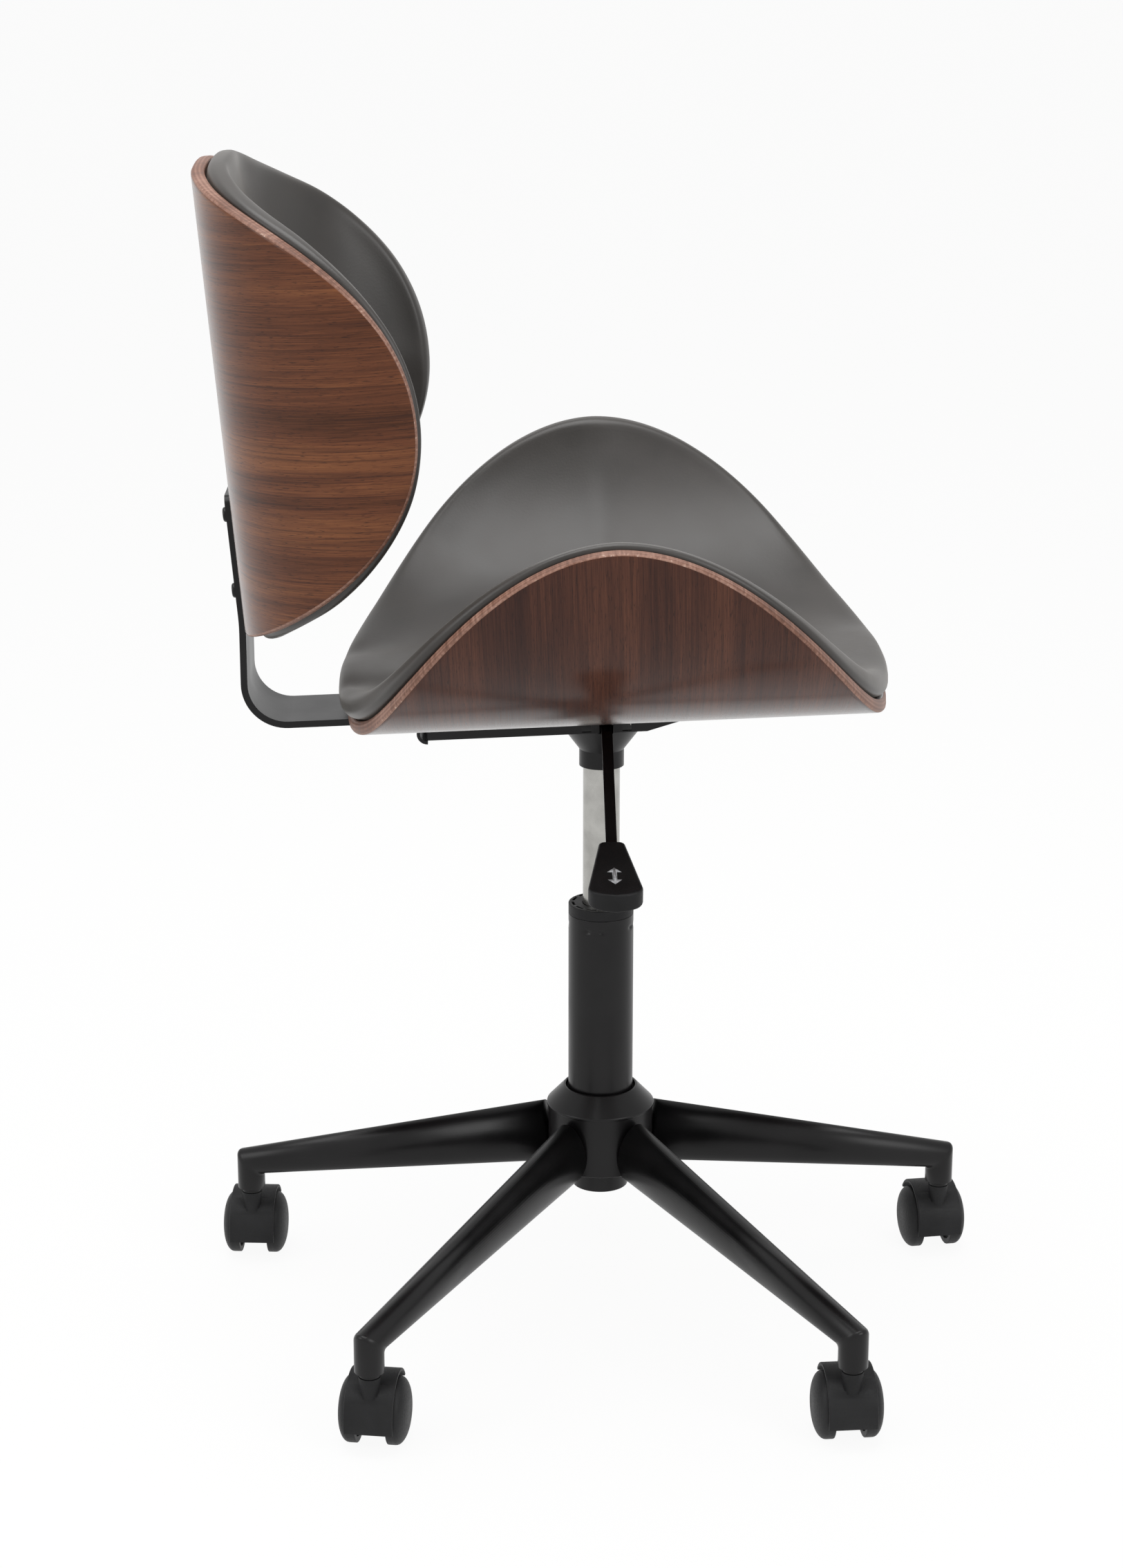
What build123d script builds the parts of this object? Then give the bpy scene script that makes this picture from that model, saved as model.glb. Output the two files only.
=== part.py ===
from build123d import *

import os
from collections import namedtuple
from math import asin, cos, degrees, hypot, pi, radians, sin, sqrt

# Rolling chair: two bent-ply shells with saddle cushions, joined by a flat steel bracket,
# on a gas lift column and a five-leg base with hooded twin-wheel casters.
# Millimetres. +Z is up, the sitter faces -Y, and the origin is on the floor under the column.

# Fits
running_clearance = 0.25
fixed_clearance = 0.1
bolt_clearance = 0.3

# Twin-wheel casters
caster_count = 5
caster_circle_radius = 296
caster_trail = 19
caster_turns = (4, -4, -9, 4, 8)
wheel_diameter = 50
wheel_width = 14.5
wheel_tread_width = 6
wheel_gap = 22.5
wheel_hub_diameter = 18
wheel_rim_depth = 4.5
wheel_recess = 3
wheel_face_diameter = 12
wheel_edge_chamfer = 1
axle_diameter = 8
axle_length = 40
hood_gap = 3
hood_wall = 2.5
hood_width = 36
hood_floor_gap = 6
hood_back_angle = 35
hood_side_gap = 0.5
hood_edge_round = 0.8
web_wall = 3
axle_boss_diameter = 15
boss_rise = 5.5
boss_top_diameter = 16.5
boss_tip_diameter = 11
boss_depth = 25
stem_diameter = 11
stem_depth = 20
grip_ring_diameter = 15.2
grip_ring_thickness = 2
grip_ring_lift = 0.4

# Five-leg base
socket_gap = 4
socket_diameter = 22
socket_wall = 2
socket_length = 22
socket_chamfer = 1.2
sleeve_length = 17
leg_rise = 58
leg_root_tall = 50
leg_root_wide = 28
leg_wall = 1.8
leg_hole_clearance = 0.5
core_diameter = 58
core_drop = 17
core_rise = 33
shroud_diameter = 81
shroud_wall = 2.5
shroud_drop = 19
shroud_rise = 28
shroud_lip = 1.2
shroud_lip_height = 2
shroud_cone_height = 14
shroud_mouth_diameter = 54
shroud_mouth_rim = 1.5

# Gas lift column
column_diameter = 50
column_end_diameter = 43
column_wall = 2
column_stub = 22
column_length = 224
column_floor_recess = 3
column_floor = 4
bush_length = 75
bush_flange = 8
bush_chamfer = 1.5
lift_travel = 95
lift_spare = 15
rod_diameter = 10
rod_collar_diameter = 18
rod_collar_height = 6
piston_height = 12
clip_diameter = 17
clip_thickness = 1.3
clip_groove_depth = 1
clip_slot = 5
bearing_diameter = 22
bearing_washer = 2
bearing_cage_height = 3
bearing_cage_diameter = 20
cylinder_diameter = 28
cylinder_top_diameter = 26
cylinder_wall = 2
cylinder_gland = 10
cylinder_cap = 8
cylinder_taper = 26
button_diameter = 8
button_rise = 9.7
button_depth = 14
button_round = 2.5

# Seat mechanism
collar_height = 13
collar_diameter = 34
cone_height = 20
chamber_diameter = 64
chamber_wall = 3
chamber_height = 13.5
plate_thickness = 2.5
plate_width = 84
plate_rear = 131
plate_front = 94
plate_nose_width = 46
plate_nose_length = 36
flange_depth = 13
flange_nose_depth = 6
curl_radius = 8
flange_slot_width = 7
flange_slot_depth = 8
flange_slot_spacing = 30
lever_offset = -2
lever_width = 8
lever_thickness = 4
lever_inner_reach = 6
lever_pivot_reach = 22
lever_pivot_drop = 8.2
lever_eye_diameter = 9
lever_pin_diameter = 5
lever_level_reach = 52
lever_arm_reach = 143
lever_arm_drop = 57
lever_bend_radius = 12
lever_slot_room = 1.5
paddle_length = 88
paddle_drop = 12
paddle_root_width = 18
paddle_end_width = 40
paddle_root_thickness = 9
paddle_end_thickness = 14
paddle_corner = 6
paddle_edge_round = 2
paddle_grip = 55
paddle_setback = 4

# Seat and back shells, bent ply trimmed to an oval
ply = 10
rim_round = 3
seat_tilt = 2.2
seat_forward = 7
seat_flat_half = 38
seat_bend_radius = 330
seat_bend_angle = 17.2
seat_wing_radius = 164
seat_half_girth = 330
seat_front = 203
seat_rear = 197
seat_end_power = 1.88
seat_wing_power = 2.16
back_lean = 5
back_reach = 267
back_rise = 215
back_flat_half = 38
back_bend_radius = 180
back_bend_angle = 17.8
back_wing_radius = 123
back_half_girth = 258
back_top = 174.5
back_bottom = 166.5
back_end_power = 2.1
back_wing_power = 2.05

# Cushions
pad_clearance = 0.4
pad_round_start = 0.86
seat_pad_crown = 30
seat_pad_edge = 22
seat_pad_inset = 3
seat_pad_overhang = 4
back_pad_crown = 26
back_pad_edge = 19
back_pad_inset = 3
back_pad_overhang = 4

# Back bracket, bolts and nuts
bracket_width = 75
bracket_thickness = 5
bracket_front = 90
bracket_top = -64
bracket_knee = -160
bracket_heel_radius = 31
bracket_knee_radius = 150
bracket_corner = 8
bolt_diameter = 6
bolt_head_diameter = 11
bolt_head_height = 3.5
seat_bolt_spacing = 46
seat_bolt_rear = 100
seat_bolt_front = 70
back_bolt_spacing = 44
back_bolt_heights = (-80, -137)
nut_flange_diameter = 18
nut_flange_thickness = 1.5
nut_barrel_diameter = 8
nut_barrel_length = 7

# Heights that stack up from the floor
axle_height = wheel_diameter / 2
hood_radius = wheel_diameter / 2 + hood_gap + hood_wall
boss_top = axle_height + hood_radius + boss_rise
socket_bottom = boss_top + socket_gap
leg_tip_height = socket_bottom + socket_length
leg_root_height = leg_tip_height + leg_rise
core_bottom = leg_root_height - core_drop
core_top = leg_root_height + core_rise
column_bottom = core_bottom - column_stub
column_top = column_bottom + column_length
column_floor_top = column_bottom + column_floor_recess + column_floor
bush_top = column_top + bush_flange
bearing_top = column_floor_top + 2 * bearing_washer + bearing_cage_height
rod_collar_top = bearing_top + bolt_clearance + rod_collar_height
cylinder_bottom = rod_collar_top + lift_travel + 6
collar_bottom = bush_top + lift_travel + lift_spare
cylinder_top = collar_bottom + cylinder_taper
chamber_bottom = collar_bottom + collar_height + cone_height
plate_underside = chamber_bottom + chamber_height
lever_height = plate_underside - lever_pivot_drop

# Shell frames: local X across the chair, local Y into the hollow, local Z along the sheet
tilt = radians(seat_tilt)
lean = radians(back_lean)
seat_end_dir = Vector(0, -cos(tilt), sin(tilt))
seat_up_dir = Vector(0, sin(tilt), cos(tilt))
seat_stack = plate_thickness + bracket_thickness + ply
seat_origin = Vector(0, 0, plate_underside) + seat_up_dir * seat_stack + seat_end_dir * seat_forward
seat_plane = Plane(seat_origin, (1, 0, 0), seat_end_dir)
back_plane = Plane((0, back_reach, seat_origin.Z + back_rise), (-1, 0, 0), (0, sin(lean), cos(lean)))

Sheet = namedtuple(
    "Sheet",
    "plane flat_half bend_radius bend_angle wing_radius half_girth front rear end_power wing_power",
)
seat_sheet = Sheet(
    seat_plane, seat_flat_half, seat_bend_radius, seat_bend_angle, seat_wing_radius,
    seat_half_girth, seat_front, seat_rear, seat_end_power, seat_wing_power,
)
back_sheet = Sheet(
    back_plane, back_flat_half, back_bend_radius, back_bend_angle, back_wing_radius,
    back_half_girth, back_top, back_bottom, back_end_power, back_wing_power,
)

os.makedirs("parts", exist_ok=True)


def save(piece, name):
    """Label a finished piece and write it as its own file."""
    piece.label = name
    export_step(piece, f"parts/{name}.step")


# Casters, drawn once with the stem on the Z axis and the hood facing -X

axle_plane = Plane((caster_trail, 0, axle_height), (1, 0, 0), (0, -1, 0))
wheel_plane = Plane((caster_trail, 0, axle_height), (0, 1, 0), (1, 0, 0))
axle_axis = Axis((caster_trail, 0, axle_height), (0, 1, 0))
wheel_inner = wheel_gap / 2
wheel_outer = wheel_inner + wheel_width
wheel_radius = wheel_diameter / 2
web_half = wheel_inner - hood_side_gap
hood_front_angle = 180 + degrees(asin((axle_height - hood_floor_gap) / hood_radius))
hood_sweep = hood_front_angle - hood_back_angle
stem_bottom = boss_top - stem_depth
stem_top = socket_bottom + sleeve_length

with BuildPart() as hood_form:
    # Stem column inside the hood, trimmed to the hood's round
    with Locations((0, 0, boss_top - boss_depth)):
        Cylinder(boss_tip_diameter / 2 + web_wall, boss_depth, align=(Align.CENTER, Align.CENTER, Align.MIN))
    with BuildSketch(axle_plane):
        Circle(hood_radius - hood_wall / 2)
    extrude(amount=web_half, both=True, mode=Mode.INTERSECT)
    # Mudguard skirt round the front and top of both wheels
    with BuildSketch(axle_plane):
        with BuildLine():
            outer = CenterArc((0, 0), hood_radius, hood_back_angle, hood_sweep)
            inner = CenterArc((0, 0), hood_radius - hood_wall, hood_back_angle, hood_sweep)
            Line(outer @ 0, inner @ 0)
            Line(outer @ 1, inner @ 1)
        make_face()
    extrude(amount=hood_width / 2, both=True)
    fillet(hood_form.faces().filter_by(Axis.Y).edges().filter_by(GeomType.CIRCLE), hood_edge_round)
    # Two cheeks between the wheels carry the axle
    for side in (-1, 1):
        with BuildSketch(axle_plane.offset(side * (web_half - web_wall / 2))):
            with BuildLine():
                crown = CenterArc((0, 0), hood_radius - hood_wall / 2, hood_back_angle, hood_sweep)
                Line(crown @ 0, (0, 0))
                Line(crown @ 1, (0, 0))
            make_face()
            Circle(axle_boss_diameter / 2)
        extrude(amount=web_wall / 2, both=True)
    with BuildSketch(axle_plane):
        Circle(axle_boss_diameter / 2)
    extrude(amount=web_half, both=True)
    # Tapered stem boss standing out of the hood's front
    with Locations((0, 0, boss_top)):
        Cone(
            boss_tip_diameter / 2, boss_top_diameter / 2, boss_depth,
            align=(Align.CENTER, Align.CENTER, Align.MAX),
        )
        Hole(stem_diameter / 2 + fixed_clearance, stem_depth)
    with BuildSketch(axle_plane):
        Circle(axle_diameter / 2 + fixed_clearance)
    extrude(amount=hood_width, both=True, mode=Mode.SUBTRACT)

with BuildPart() as stem_form:
    with Locations((0, 0, stem_bottom)):
        Cylinder(stem_diameter / 2, stem_top - stem_bottom, align=(Align.CENTER, Align.CENTER, Align.MIN))
    chamfer(stem_form.edges().filter_by(GeomType.CIRCLE).sort_by(Axis.Z)[-1], socket_chamfer)
    with Locations((0, 0, boss_top + grip_ring_lift)):
        Cylinder(
            grip_ring_diameter / 2, grip_ring_thickness, align=(Align.CENTER, Align.CENTER, Align.MIN)
        )

with BuildPart() as axle_form:
    with BuildSketch(axle_plane):
        Circle(axle_diameter / 2)
    extrude(amount=axle_length / 2, both=True)

wheel_forms = {}
for side, side_name in ((-1, "left"), (1, "right")):
    with BuildPart() as wheel_form:
        bore = axle_diameter / 2 + running_clearance
        bore_end = axle_length / 2 + hood_side_gap
        rim = wheel_radius - wheel_rim_depth
        with BuildSketch(wheel_plane):
            with BuildLine():
                Polyline(
                    (side * (wheel_inner + wheel_tread_width), wheel_radius),
                    (side * (wheel_inner + wheel_edge_chamfer), wheel_radius),
                    (side * wheel_inner, wheel_radius - wheel_edge_chamfer),
                    (side * wheel_inner, rim),
                    (side * (wheel_inner + wheel_recess), rim),
                    (side * (wheel_inner + wheel_recess), wheel_hub_diameter / 2),
                    (side * wheel_inner, wheel_hub_diameter / 2),
                    (side * wheel_inner, bore),
                    (side * bore_end, bore),
                    (side * bore_end, 0),
                    (side * wheel_outer, 0),
                    (side * wheel_outer, wheel_face_diameter / 2),
                )
                EllipticalCenterArc(
                    (side * (wheel_inner + wheel_tread_width), wheel_face_diameter / 2),
                    wheel_width - wheel_tread_width,
                    wheel_radius - wheel_face_diameter / 2,
                    start_angle=0 if side > 0 else 90,
                    arc_size=90,
                )
            make_face()
        revolve(axis=axle_axis)
    wheel_forms[side_name] = wheel_form

leg_angles = [360 / caster_count * k for k in range(caster_count)]
for number, (angle, turn) in enumerate(zip(leg_angles, caster_turns), start=1):
    stem_place = Vector(caster_circle_radius, 0).rotate(Axis.Z, angle)
    place = Location(stem_place, (0, 0, turn))
    save(hood_form.part.moved(place), f"caster_hood_{number}")
    save(stem_form.part.moved(place), f"caster_stem_{number}")
    save(axle_form.part.moved(place), f"caster_axle_{number}")
    for side_name, wheel_form in wheel_forms.items():
        save(wheel_form.part.moved(place), f"wheel_{number}_{side_name}")

# Legs: oval tubes that taper from the hub to a mitre on the upright socket

shroud_radius = shroud_diameter / 2
leg_run = caster_circle_radius - shroud_radius
leg_length = hypot(leg_run, leg_rise)
leg_dir = Vector(leg_run / leg_length, 0, -leg_rise / leg_length)
leg_tip = Vector(caster_circle_radius, 0, leg_tip_height)
mitre_plane = Plane(leg_tip, (0, 1, 0), leg_dir + Vector(0, 0, -1))


def leg_sections(grow):
    """Ovals of the leg inside the hub and past the socket, each half axis grown by grow."""
    sections = []
    for reach in (-leg_length * 1.1, socket_diameter):
        share = -reach / leg_length
        tall = socket_diameter + (leg_root_tall - socket_diameter) * share
        wide = socket_diameter + (leg_root_wide - socket_diameter) * share
        with BuildSketch(Plane(leg_tip + leg_dir * reach, (0, 1, 0), leg_dir)) as oval:
            Ellipse(wide / 2 + grow, tall / 2 + grow)
        sections.append(oval.sketch.face())
    return sections


with BuildPart() as leg_form:
    loft(leg_sections(0))
    loft(leg_sections(-leg_wall), mode=Mode.SUBTRACT)
    split(bisect_by=mitre_plane, keep=Keep.BOTTOM)
    with Locations((0, 0, core_bottom)):
        Cylinder(
            core_diameter / 2 + fixed_clearance, 4 * leg_root_tall,
            align=(Align.CENTER, Align.CENTER, Align.CENTER), mode=Mode.SUBTRACT,
        )

with BuildPart() as leg_hole_form:
    loft(leg_sections(leg_hole_clearance))

with BuildPart() as socket_form:
    with BuildSketch(Plane((caster_circle_radius, 0, socket_bottom))):
        Circle(socket_diameter / 2)
        Circle(socket_diameter / 2 - socket_wall, mode=Mode.SUBTRACT)
    extrude(amount=socket_length + socket_diameter)
    chamfer(socket_form.edges().filter_by(GeomType.CIRCLE).group_by(Axis.Z)[0].sort_by(SortBy.RADIUS)[-1],
            socket_chamfer)
    split(bisect_by=mitre_plane, keep=Keep.TOP)

for number, angle in enumerate(leg_angles, start=1):
    place = Location((0, 0, 0), (0, 0, angle))
    save(leg_form.part.moved(place), f"leg_{number}")
    save(socket_form.part.moved(place), f"leg_socket_{number}")

with BuildPart() as stem_sleeves:
    with BuildSketch(Plane.XY.offset(socket_bottom)):
        with PolarLocations(caster_circle_radius, caster_count):
            Circle(socket_diameter / 2 - socket_wall - fixed_clearance)
            Circle(stem_diameter / 2 + running_clearance, mode=Mode.SUBTRACT)
    extrude(amount=sleeve_length)
save(stem_sleeves.part, "stem_sleeves")

# Hub: a steel core that the legs are welded to, under a pressed shroud

column_radius = column_diameter / 2
column_end_radius = column_end_diameter / 2
column_slope = (column_radius - column_end_radius) / (core_top - column_bottom)


def taper_radius(height):
    """Outer radius of the column's tapered lower end."""
    return column_end_radius + column_slope * (height - column_bottom)


with BuildPart() as base_core:
    with BuildSketch(Plane.XZ):
        with BuildLine():
            Polyline(
                (core_diameter / 2, core_bottom),
                (core_diameter / 2, core_top),
                (taper_radius(core_top) + fixed_clearance, core_top),
                (taper_radius(core_bottom) + fixed_clearance, core_bottom),
                close=True,
            )
        make_face()
    revolve(axis=Axis.Z)
save(base_core.part, "base_core")

shroud_bottom = leg_root_height - shroud_drop
shroud_shoulder = leg_root_height + shroud_rise
shroud_top = shroud_shoulder + shroud_lip_height + shroud_cone_height
mouth_radius = shroud_mouth_diameter / 2

with BuildPart() as base_shroud:
    with BuildSketch(Plane.XZ):
        with BuildLine():
            Polyline(
                (shroud_radius, shroud_bottom),
                (shroud_radius, shroud_shoulder),
                (shroud_radius + shroud_lip, shroud_shoulder),
                (shroud_radius + shroud_lip, shroud_shoulder + shroud_lip_height),
                (mouth_radius + shroud_mouth_rim, shroud_top),
                (mouth_radius, shroud_top),
                (mouth_radius, shroud_top - shroud_wall),
                (shroud_radius - shroud_wall, shroud_shoulder),
                (shroud_radius - shroud_wall, shroud_bottom),
                close=True,
            )
        make_face()
    revolve(axis=Axis.Z)
    for angle in leg_angles:
        add(leg_hole_form.part, rotation=(0, 0, angle), mode=Mode.SUBTRACT)
save(base_shroud.part, "base_shroud")

# Gas lift: outer column with its bush, and the rod, cylinder and button inside

floor_underside = column_bottom + column_floor_recess
floor_bore = rod_diameter / 2 + running_clearance

with BuildPart() as outer_column:
    with BuildSketch(Plane.XZ):
        with BuildLine():
            Polyline(
                (column_end_radius, column_bottom),
                (column_radius, core_top),
                (column_radius, column_top),
                (column_radius - column_wall, column_top),
                (column_radius - column_wall, core_top),
                (taper_radius(column_floor_top) - column_wall, column_floor_top),
                (floor_bore, column_floor_top),
                (floor_bore, floor_underside),
                (column_end_radius - column_wall, floor_underside),
                (column_end_radius - column_wall, column_bottom),
                close=True,
            )
        make_face()
    revolve(axis=Axis.Z)
save(outer_column.part, "outer_column")

cylinder_radius = cylinder_diameter / 2
bush_bore = cylinder_radius + running_clearance
bush_radius = column_radius - column_wall - fixed_clearance

with BuildPart() as column_bush:
    with BuildSketch(Plane.XZ):
        with BuildLine():
            Polyline(
                (bush_bore, column_top - bush_length),
                (bush_radius, column_top - bush_length),
                (bush_radius, column_top),
                (column_radius, column_top),
                (column_radius, bush_top - bush_chamfer),
                (column_radius - bush_chamfer, bush_top),
                (bush_bore, bush_top),
                close=True,
            )
        make_face()
    revolve(axis=Axis.Z)
save(column_bush.part, "column_bush")

with BuildPart() as thrust_bearing:
    layers = (
        (bearing_diameter, column_floor_top, bearing_washer),
        (bearing_cage_diameter, column_floor_top + bearing_washer, bearing_cage_height),
        (bearing_diameter, bearing_top - bearing_washer, bearing_washer),
    )
    for diameter, height, thickness in layers:
        with BuildSketch(Plane.XY.offset(height)):
            Circle(diameter / 2)
            Circle(floor_bore, mode=Mode.SUBTRACT)
        extrude(amount=thickness)
save(thrust_bearing.part, "thrust_bearing")

rod_radius = rod_diameter / 2
clip_top = floor_underside - running_clearance
clip_bottom = clip_top - clip_thickness
groove_radius = rod_radius - clip_groove_depth
cylinder_bore = cylinder_radius - cylinder_wall
piston_bottom = cylinder_bottom + cylinder_gland + bolt_clearance
piston_top = piston_bottom + piston_height

with BuildPart() as piston_rod:
    with BuildSketch(Plane.XZ):
        with BuildLine():
            Polyline(
                (0, column_bottom),
                (rod_radius, column_bottom),
                (rod_radius, clip_bottom - running_clearance),
                (groove_radius, clip_bottom - running_clearance),
                (groove_radius, clip_top + running_clearance),
                (rod_radius, clip_top + running_clearance),
                (rod_radius, rod_collar_top - rod_collar_height),
                (rod_collar_diameter / 2, rod_collar_top - rod_collar_height),
                (rod_collar_diameter / 2, rod_collar_top),
                (rod_radius, rod_collar_top),
                (rod_radius, piston_bottom),
                (cylinder_bore - running_clearance, piston_bottom),
                (cylinder_bore - running_clearance, piston_top),
                (0, piston_top),
                close=True,
            )
        make_face()
    revolve(axis=Axis.Z)
save(piston_rod.part, "piston_rod")

with BuildPart() as retaining_clip:
    with BuildSketch(Plane.XY.offset(clip_bottom)):
        Circle(clip_diameter / 2)
        Circle(groove_radius + fixed_clearance, mode=Mode.SUBTRACT)
        Rectangle(clip_diameter, clip_slot, align=(Align.MIN, Align.CENTER), mode=Mode.SUBTRACT)
    extrude(amount=clip_thickness)
save(retaining_clip.part, "retaining_clip")

button_bore = button_diameter / 2 + running_clearance

with BuildPart() as gas_cylinder:
    with BuildSketch(Plane.XZ):
        with BuildLine():
            Polyline(
                (rod_radius + running_clearance, cylinder_bottom),
                (cylinder_radius, cylinder_bottom),
                (cylinder_radius, collar_bottom),
                (cylinder_top_diameter / 2, cylinder_top),
                (button_bore, cylinder_top),
                (button_bore, cylinder_top - cylinder_cap),
                (cylinder_top_diameter / 2 - cylinder_wall, cylinder_top - cylinder_cap),
                (cylinder_bore, collar_bottom),
                (cylinder_bore, cylinder_bottom + cylinder_gland),
                (rod_radius + running_clearance, cylinder_bottom + cylinder_gland),
                close=True,
            )
        make_face()
    revolve(axis=Axis.Z)
save(gas_cylinder.part, "gas_cylinder")

with BuildPart() as release_button:
    with Locations((0, 0, cylinder_top - button_depth)):
        Cylinder(
            button_diameter / 2, button_depth + button_rise, align=(Align.CENTER, Align.CENTER, Align.MIN)
        )
    fillet(release_button.edges().filter_by(GeomType.CIRCLE).sort_by(Axis.Z)[-1], button_round)
save(release_button.part, "release_button")

# Mechanism: flared socket on the cylinder's taper, under a pressed plate with turned-down flanges

plate_plane = Plane(
    Vector(0, 0, plate_underside) + seat_up_dir * plate_thickness, (1, 0, 0), seat_up_dir
)
collar_radius = collar_diameter / 2
chamber_radius = chamber_diameter / 2
chamber_floor_radius = collar_radius + (chamber_radius - collar_radius) / 2
lever_cut_width = lever_width + 2 * lever_slot_room
pin_reach = sqrt((chamber_radius - chamber_wall / 2) ** 2 - lever_pivot_reach**2)
pin_plane = Plane((-lever_pivot_reach, 0, lever_height), (1, 0, 0), (0, -1, 0))

with BuildPart() as mechanism_socket:
    with BuildSketch(Plane.XZ):
        with BuildLine():
            Polyline(
                (cylinder_radius + fixed_clearance, collar_bottom),
                (collar_radius, collar_bottom),
                (collar_radius, collar_bottom + collar_height),
                (chamber_radius, chamber_bottom),
                (chamber_radius, plate_underside + plate_thickness),
                (chamber_radius - chamber_wall, plate_underside + plate_thickness),
                (chamber_radius - chamber_wall, chamber_bottom),
                (chamber_floor_radius, cylinder_top),
                (cylinder_top_diameter / 2 + fixed_clearance, cylinder_top),
                close=True,
            )
        make_face()
    revolve(axis=Axis.Z)
    split(bisect_by=plate_plane.offset(-plate_thickness), keep=Keep.BOTTOM)
    with BuildSketch(pin_plane):
        Circle(lever_pin_diameter / 2 + fixed_clearance)
    extrude(amount=pin_reach, both=True, mode=Mode.SUBTRACT)
    with Locations((-lever_pivot_reach, lever_offset, lever_height)):
        Box(
            chamber_diameter, lever_cut_width, lever_eye_diameter + 2 * lever_slot_room,
            align=(Align.MAX, Align.CENTER, Align.CENTER), mode=Mode.SUBTRACT,
        )
save(mechanism_socket.part, "mechanism_socket")

seat_bolt_places = [
    (side * seat_bolt_spacing / 2, along) for side in (-1, 1) for along in (seat_bolt_rear, -seat_bolt_front)
]
flange_profile_end = plate_front - plate_nose_length

with BuildPart() as mechanism_plate:
    with BuildSketch(plate_plane):
        with BuildLine():
            Polyline(
                (plate_width / 2, plate_rear),
                (plate_width / 2, -flange_profile_end),
                (plate_nose_width / 2, -plate_front),
                (-plate_nose_width / 2, -plate_front),
                (-plate_width / 2, -flange_profile_end),
                (-plate_width / 2, plate_rear),
                close=True,
            )
        make_face()
        with Locations(*seat_bolt_places):
            Circle(bolt_diameter / 2 + bolt_clearance, mode=Mode.SUBTRACT)
    extrude(amount=-plate_thickness)
    for side in (-1, 1):
        flange_plane = Plane(
            plate_plane.origin + plate_plane.x_dir * (side * (plate_width - plate_thickness) / 2),
            plate_plane.y_dir, plate_plane.x_dir,
        )
        with BuildSketch(flange_plane):
            with BuildLine():
                Polyline(
                    (plate_rear, 0),
                    (-flange_profile_end, 0),
                    (-flange_profile_end, -flange_nose_depth),
                    (-chamber_radius, -flange_depth),
                    (plate_rear, -flange_depth),
                    close=True,
                )
            make_face()
        extrude(amount=plate_thickness / 2, both=True)
    # Rolled rear end
    curl_plane = Plane(plate_plane.origin, plate_plane.y_dir, plate_plane.x_dir)
    with BuildSketch(curl_plane):
        with BuildLine():
            outer = CenterArc((plate_rear, -curl_radius), curl_radius, -90, 180)
            inner = CenterArc((plate_rear, -curl_radius), curl_radius - plate_thickness, -90, 180)
            Line(outer @ 0, inner @ 0)
            Line(outer @ 1, inner @ 1)
        make_face()
    extrude(amount=plate_width / 2, both=True)
    # Lever notch and the two small windows beside it, in the flange on the lever's side
    near_flange = plate_plane.offset(-plate_thickness - lever_slot_room)
    with BuildSketch(near_flange):
        with Locations((-plate_width / 2, lever_offset)):
            Rectangle(4 * plate_thickness, lever_cut_width)
    extrude(amount=-flange_depth, mode=Mode.SUBTRACT)
    with BuildSketch(near_flange):
        with Locations((-plate_width / 2, lever_offset)):
            with GridLocations(0, flange_slot_spacing, 1, 2):
                Rectangle(4 * plate_thickness, flange_slot_width)
    extrude(amount=-flange_slot_depth, mode=Mode.SUBTRACT)
save(mechanism_plate.part, "mechanism_plate")

with BuildPart() as lever_pin:
    with BuildSketch(pin_plane):
        Circle(lever_pin_diameter / 2)
    extrude(amount=pin_reach - fixed_clearance, both=True)
save(lever_pin.part, "lever_pin")

# Lever: a flat strip from the button to a moulded paddle, in the plane of the pivot

lever_plane = Plane((0, lever_offset, lever_height), (-1, 0, 0), (0, 1, 0))
paddle_root = (lever_arm_reach, -lever_arm_drop)
paddle_slope = paddle_drop / paddle_length
strip_end = (lever_arm_reach + paddle_grip, -lever_arm_drop - paddle_slope * paddle_grip)

with BuildPart() as lever_arm:
    with BuildSketch(lever_plane):
        with BuildLine() as lever_line:
            FilletPolyline(
                (-lever_inner_reach, 0), (lever_level_reach, 0), paddle_root, strip_end,
                radius=lever_bend_radius,
            )
        trace(line_width=lever_thickness)
        with Locations((lever_pivot_reach, 0)):
            Circle(lever_eye_diameter / 2)
            Circle(lever_pin_diameter / 2 + running_clearance, mode=Mode.SUBTRACT)
    extrude(amount=lever_width / 2, both=True)
save(lever_arm.part, "lever_arm")

paddle_dir = Vector(-1, 0, -paddle_slope).normalized()
lever_bend_point = Vector(-paddle_root[0], lever_offset, lever_height + paddle_root[1])
paddle_origin = lever_bend_point + paddle_dir * paddle_setback

with BuildPart() as lever_paddle:
    for along, width, thickness in (
        (0, paddle_root_width, paddle_root_thickness),
        (paddle_length, paddle_end_width, paddle_end_thickness),
    ):
        with BuildSketch(Plane(paddle_origin + paddle_dir * along, (0, 1, 0), paddle_dir)):
            with Locations((0, (paddle_root_thickness - thickness) / 2)):
                Rectangle(width, thickness)
    loft()
    fillet(lever_paddle.faces().sort_by(Axis.X)[0].edges().sort_by(Axis.Y)[:1], paddle_corner)
    fillet(lever_paddle.faces().sort_by(Axis.X)[0].edges().sort_by(Axis.Y)[-1:], paddle_corner)
    fillet(lever_paddle.faces().sort_by(Axis.Z)[-1].edges(), paddle_edge_round)
    with BuildSketch(Plane(lever_bend_point, (0, 1, 0), paddle_dir)):
        Rectangle(lever_width + 2 * fixed_clearance, lever_thickness + 2 * fixed_clearance)
    extrude(amount=paddle_grip + paddle_setback, mode=Mode.SUBTRACT)
save(lever_paddle.part, "lever_paddle")


# Bent-ply shells: the hollow of the press tool is drawn first, and its trimmed floor is thickened

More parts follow.
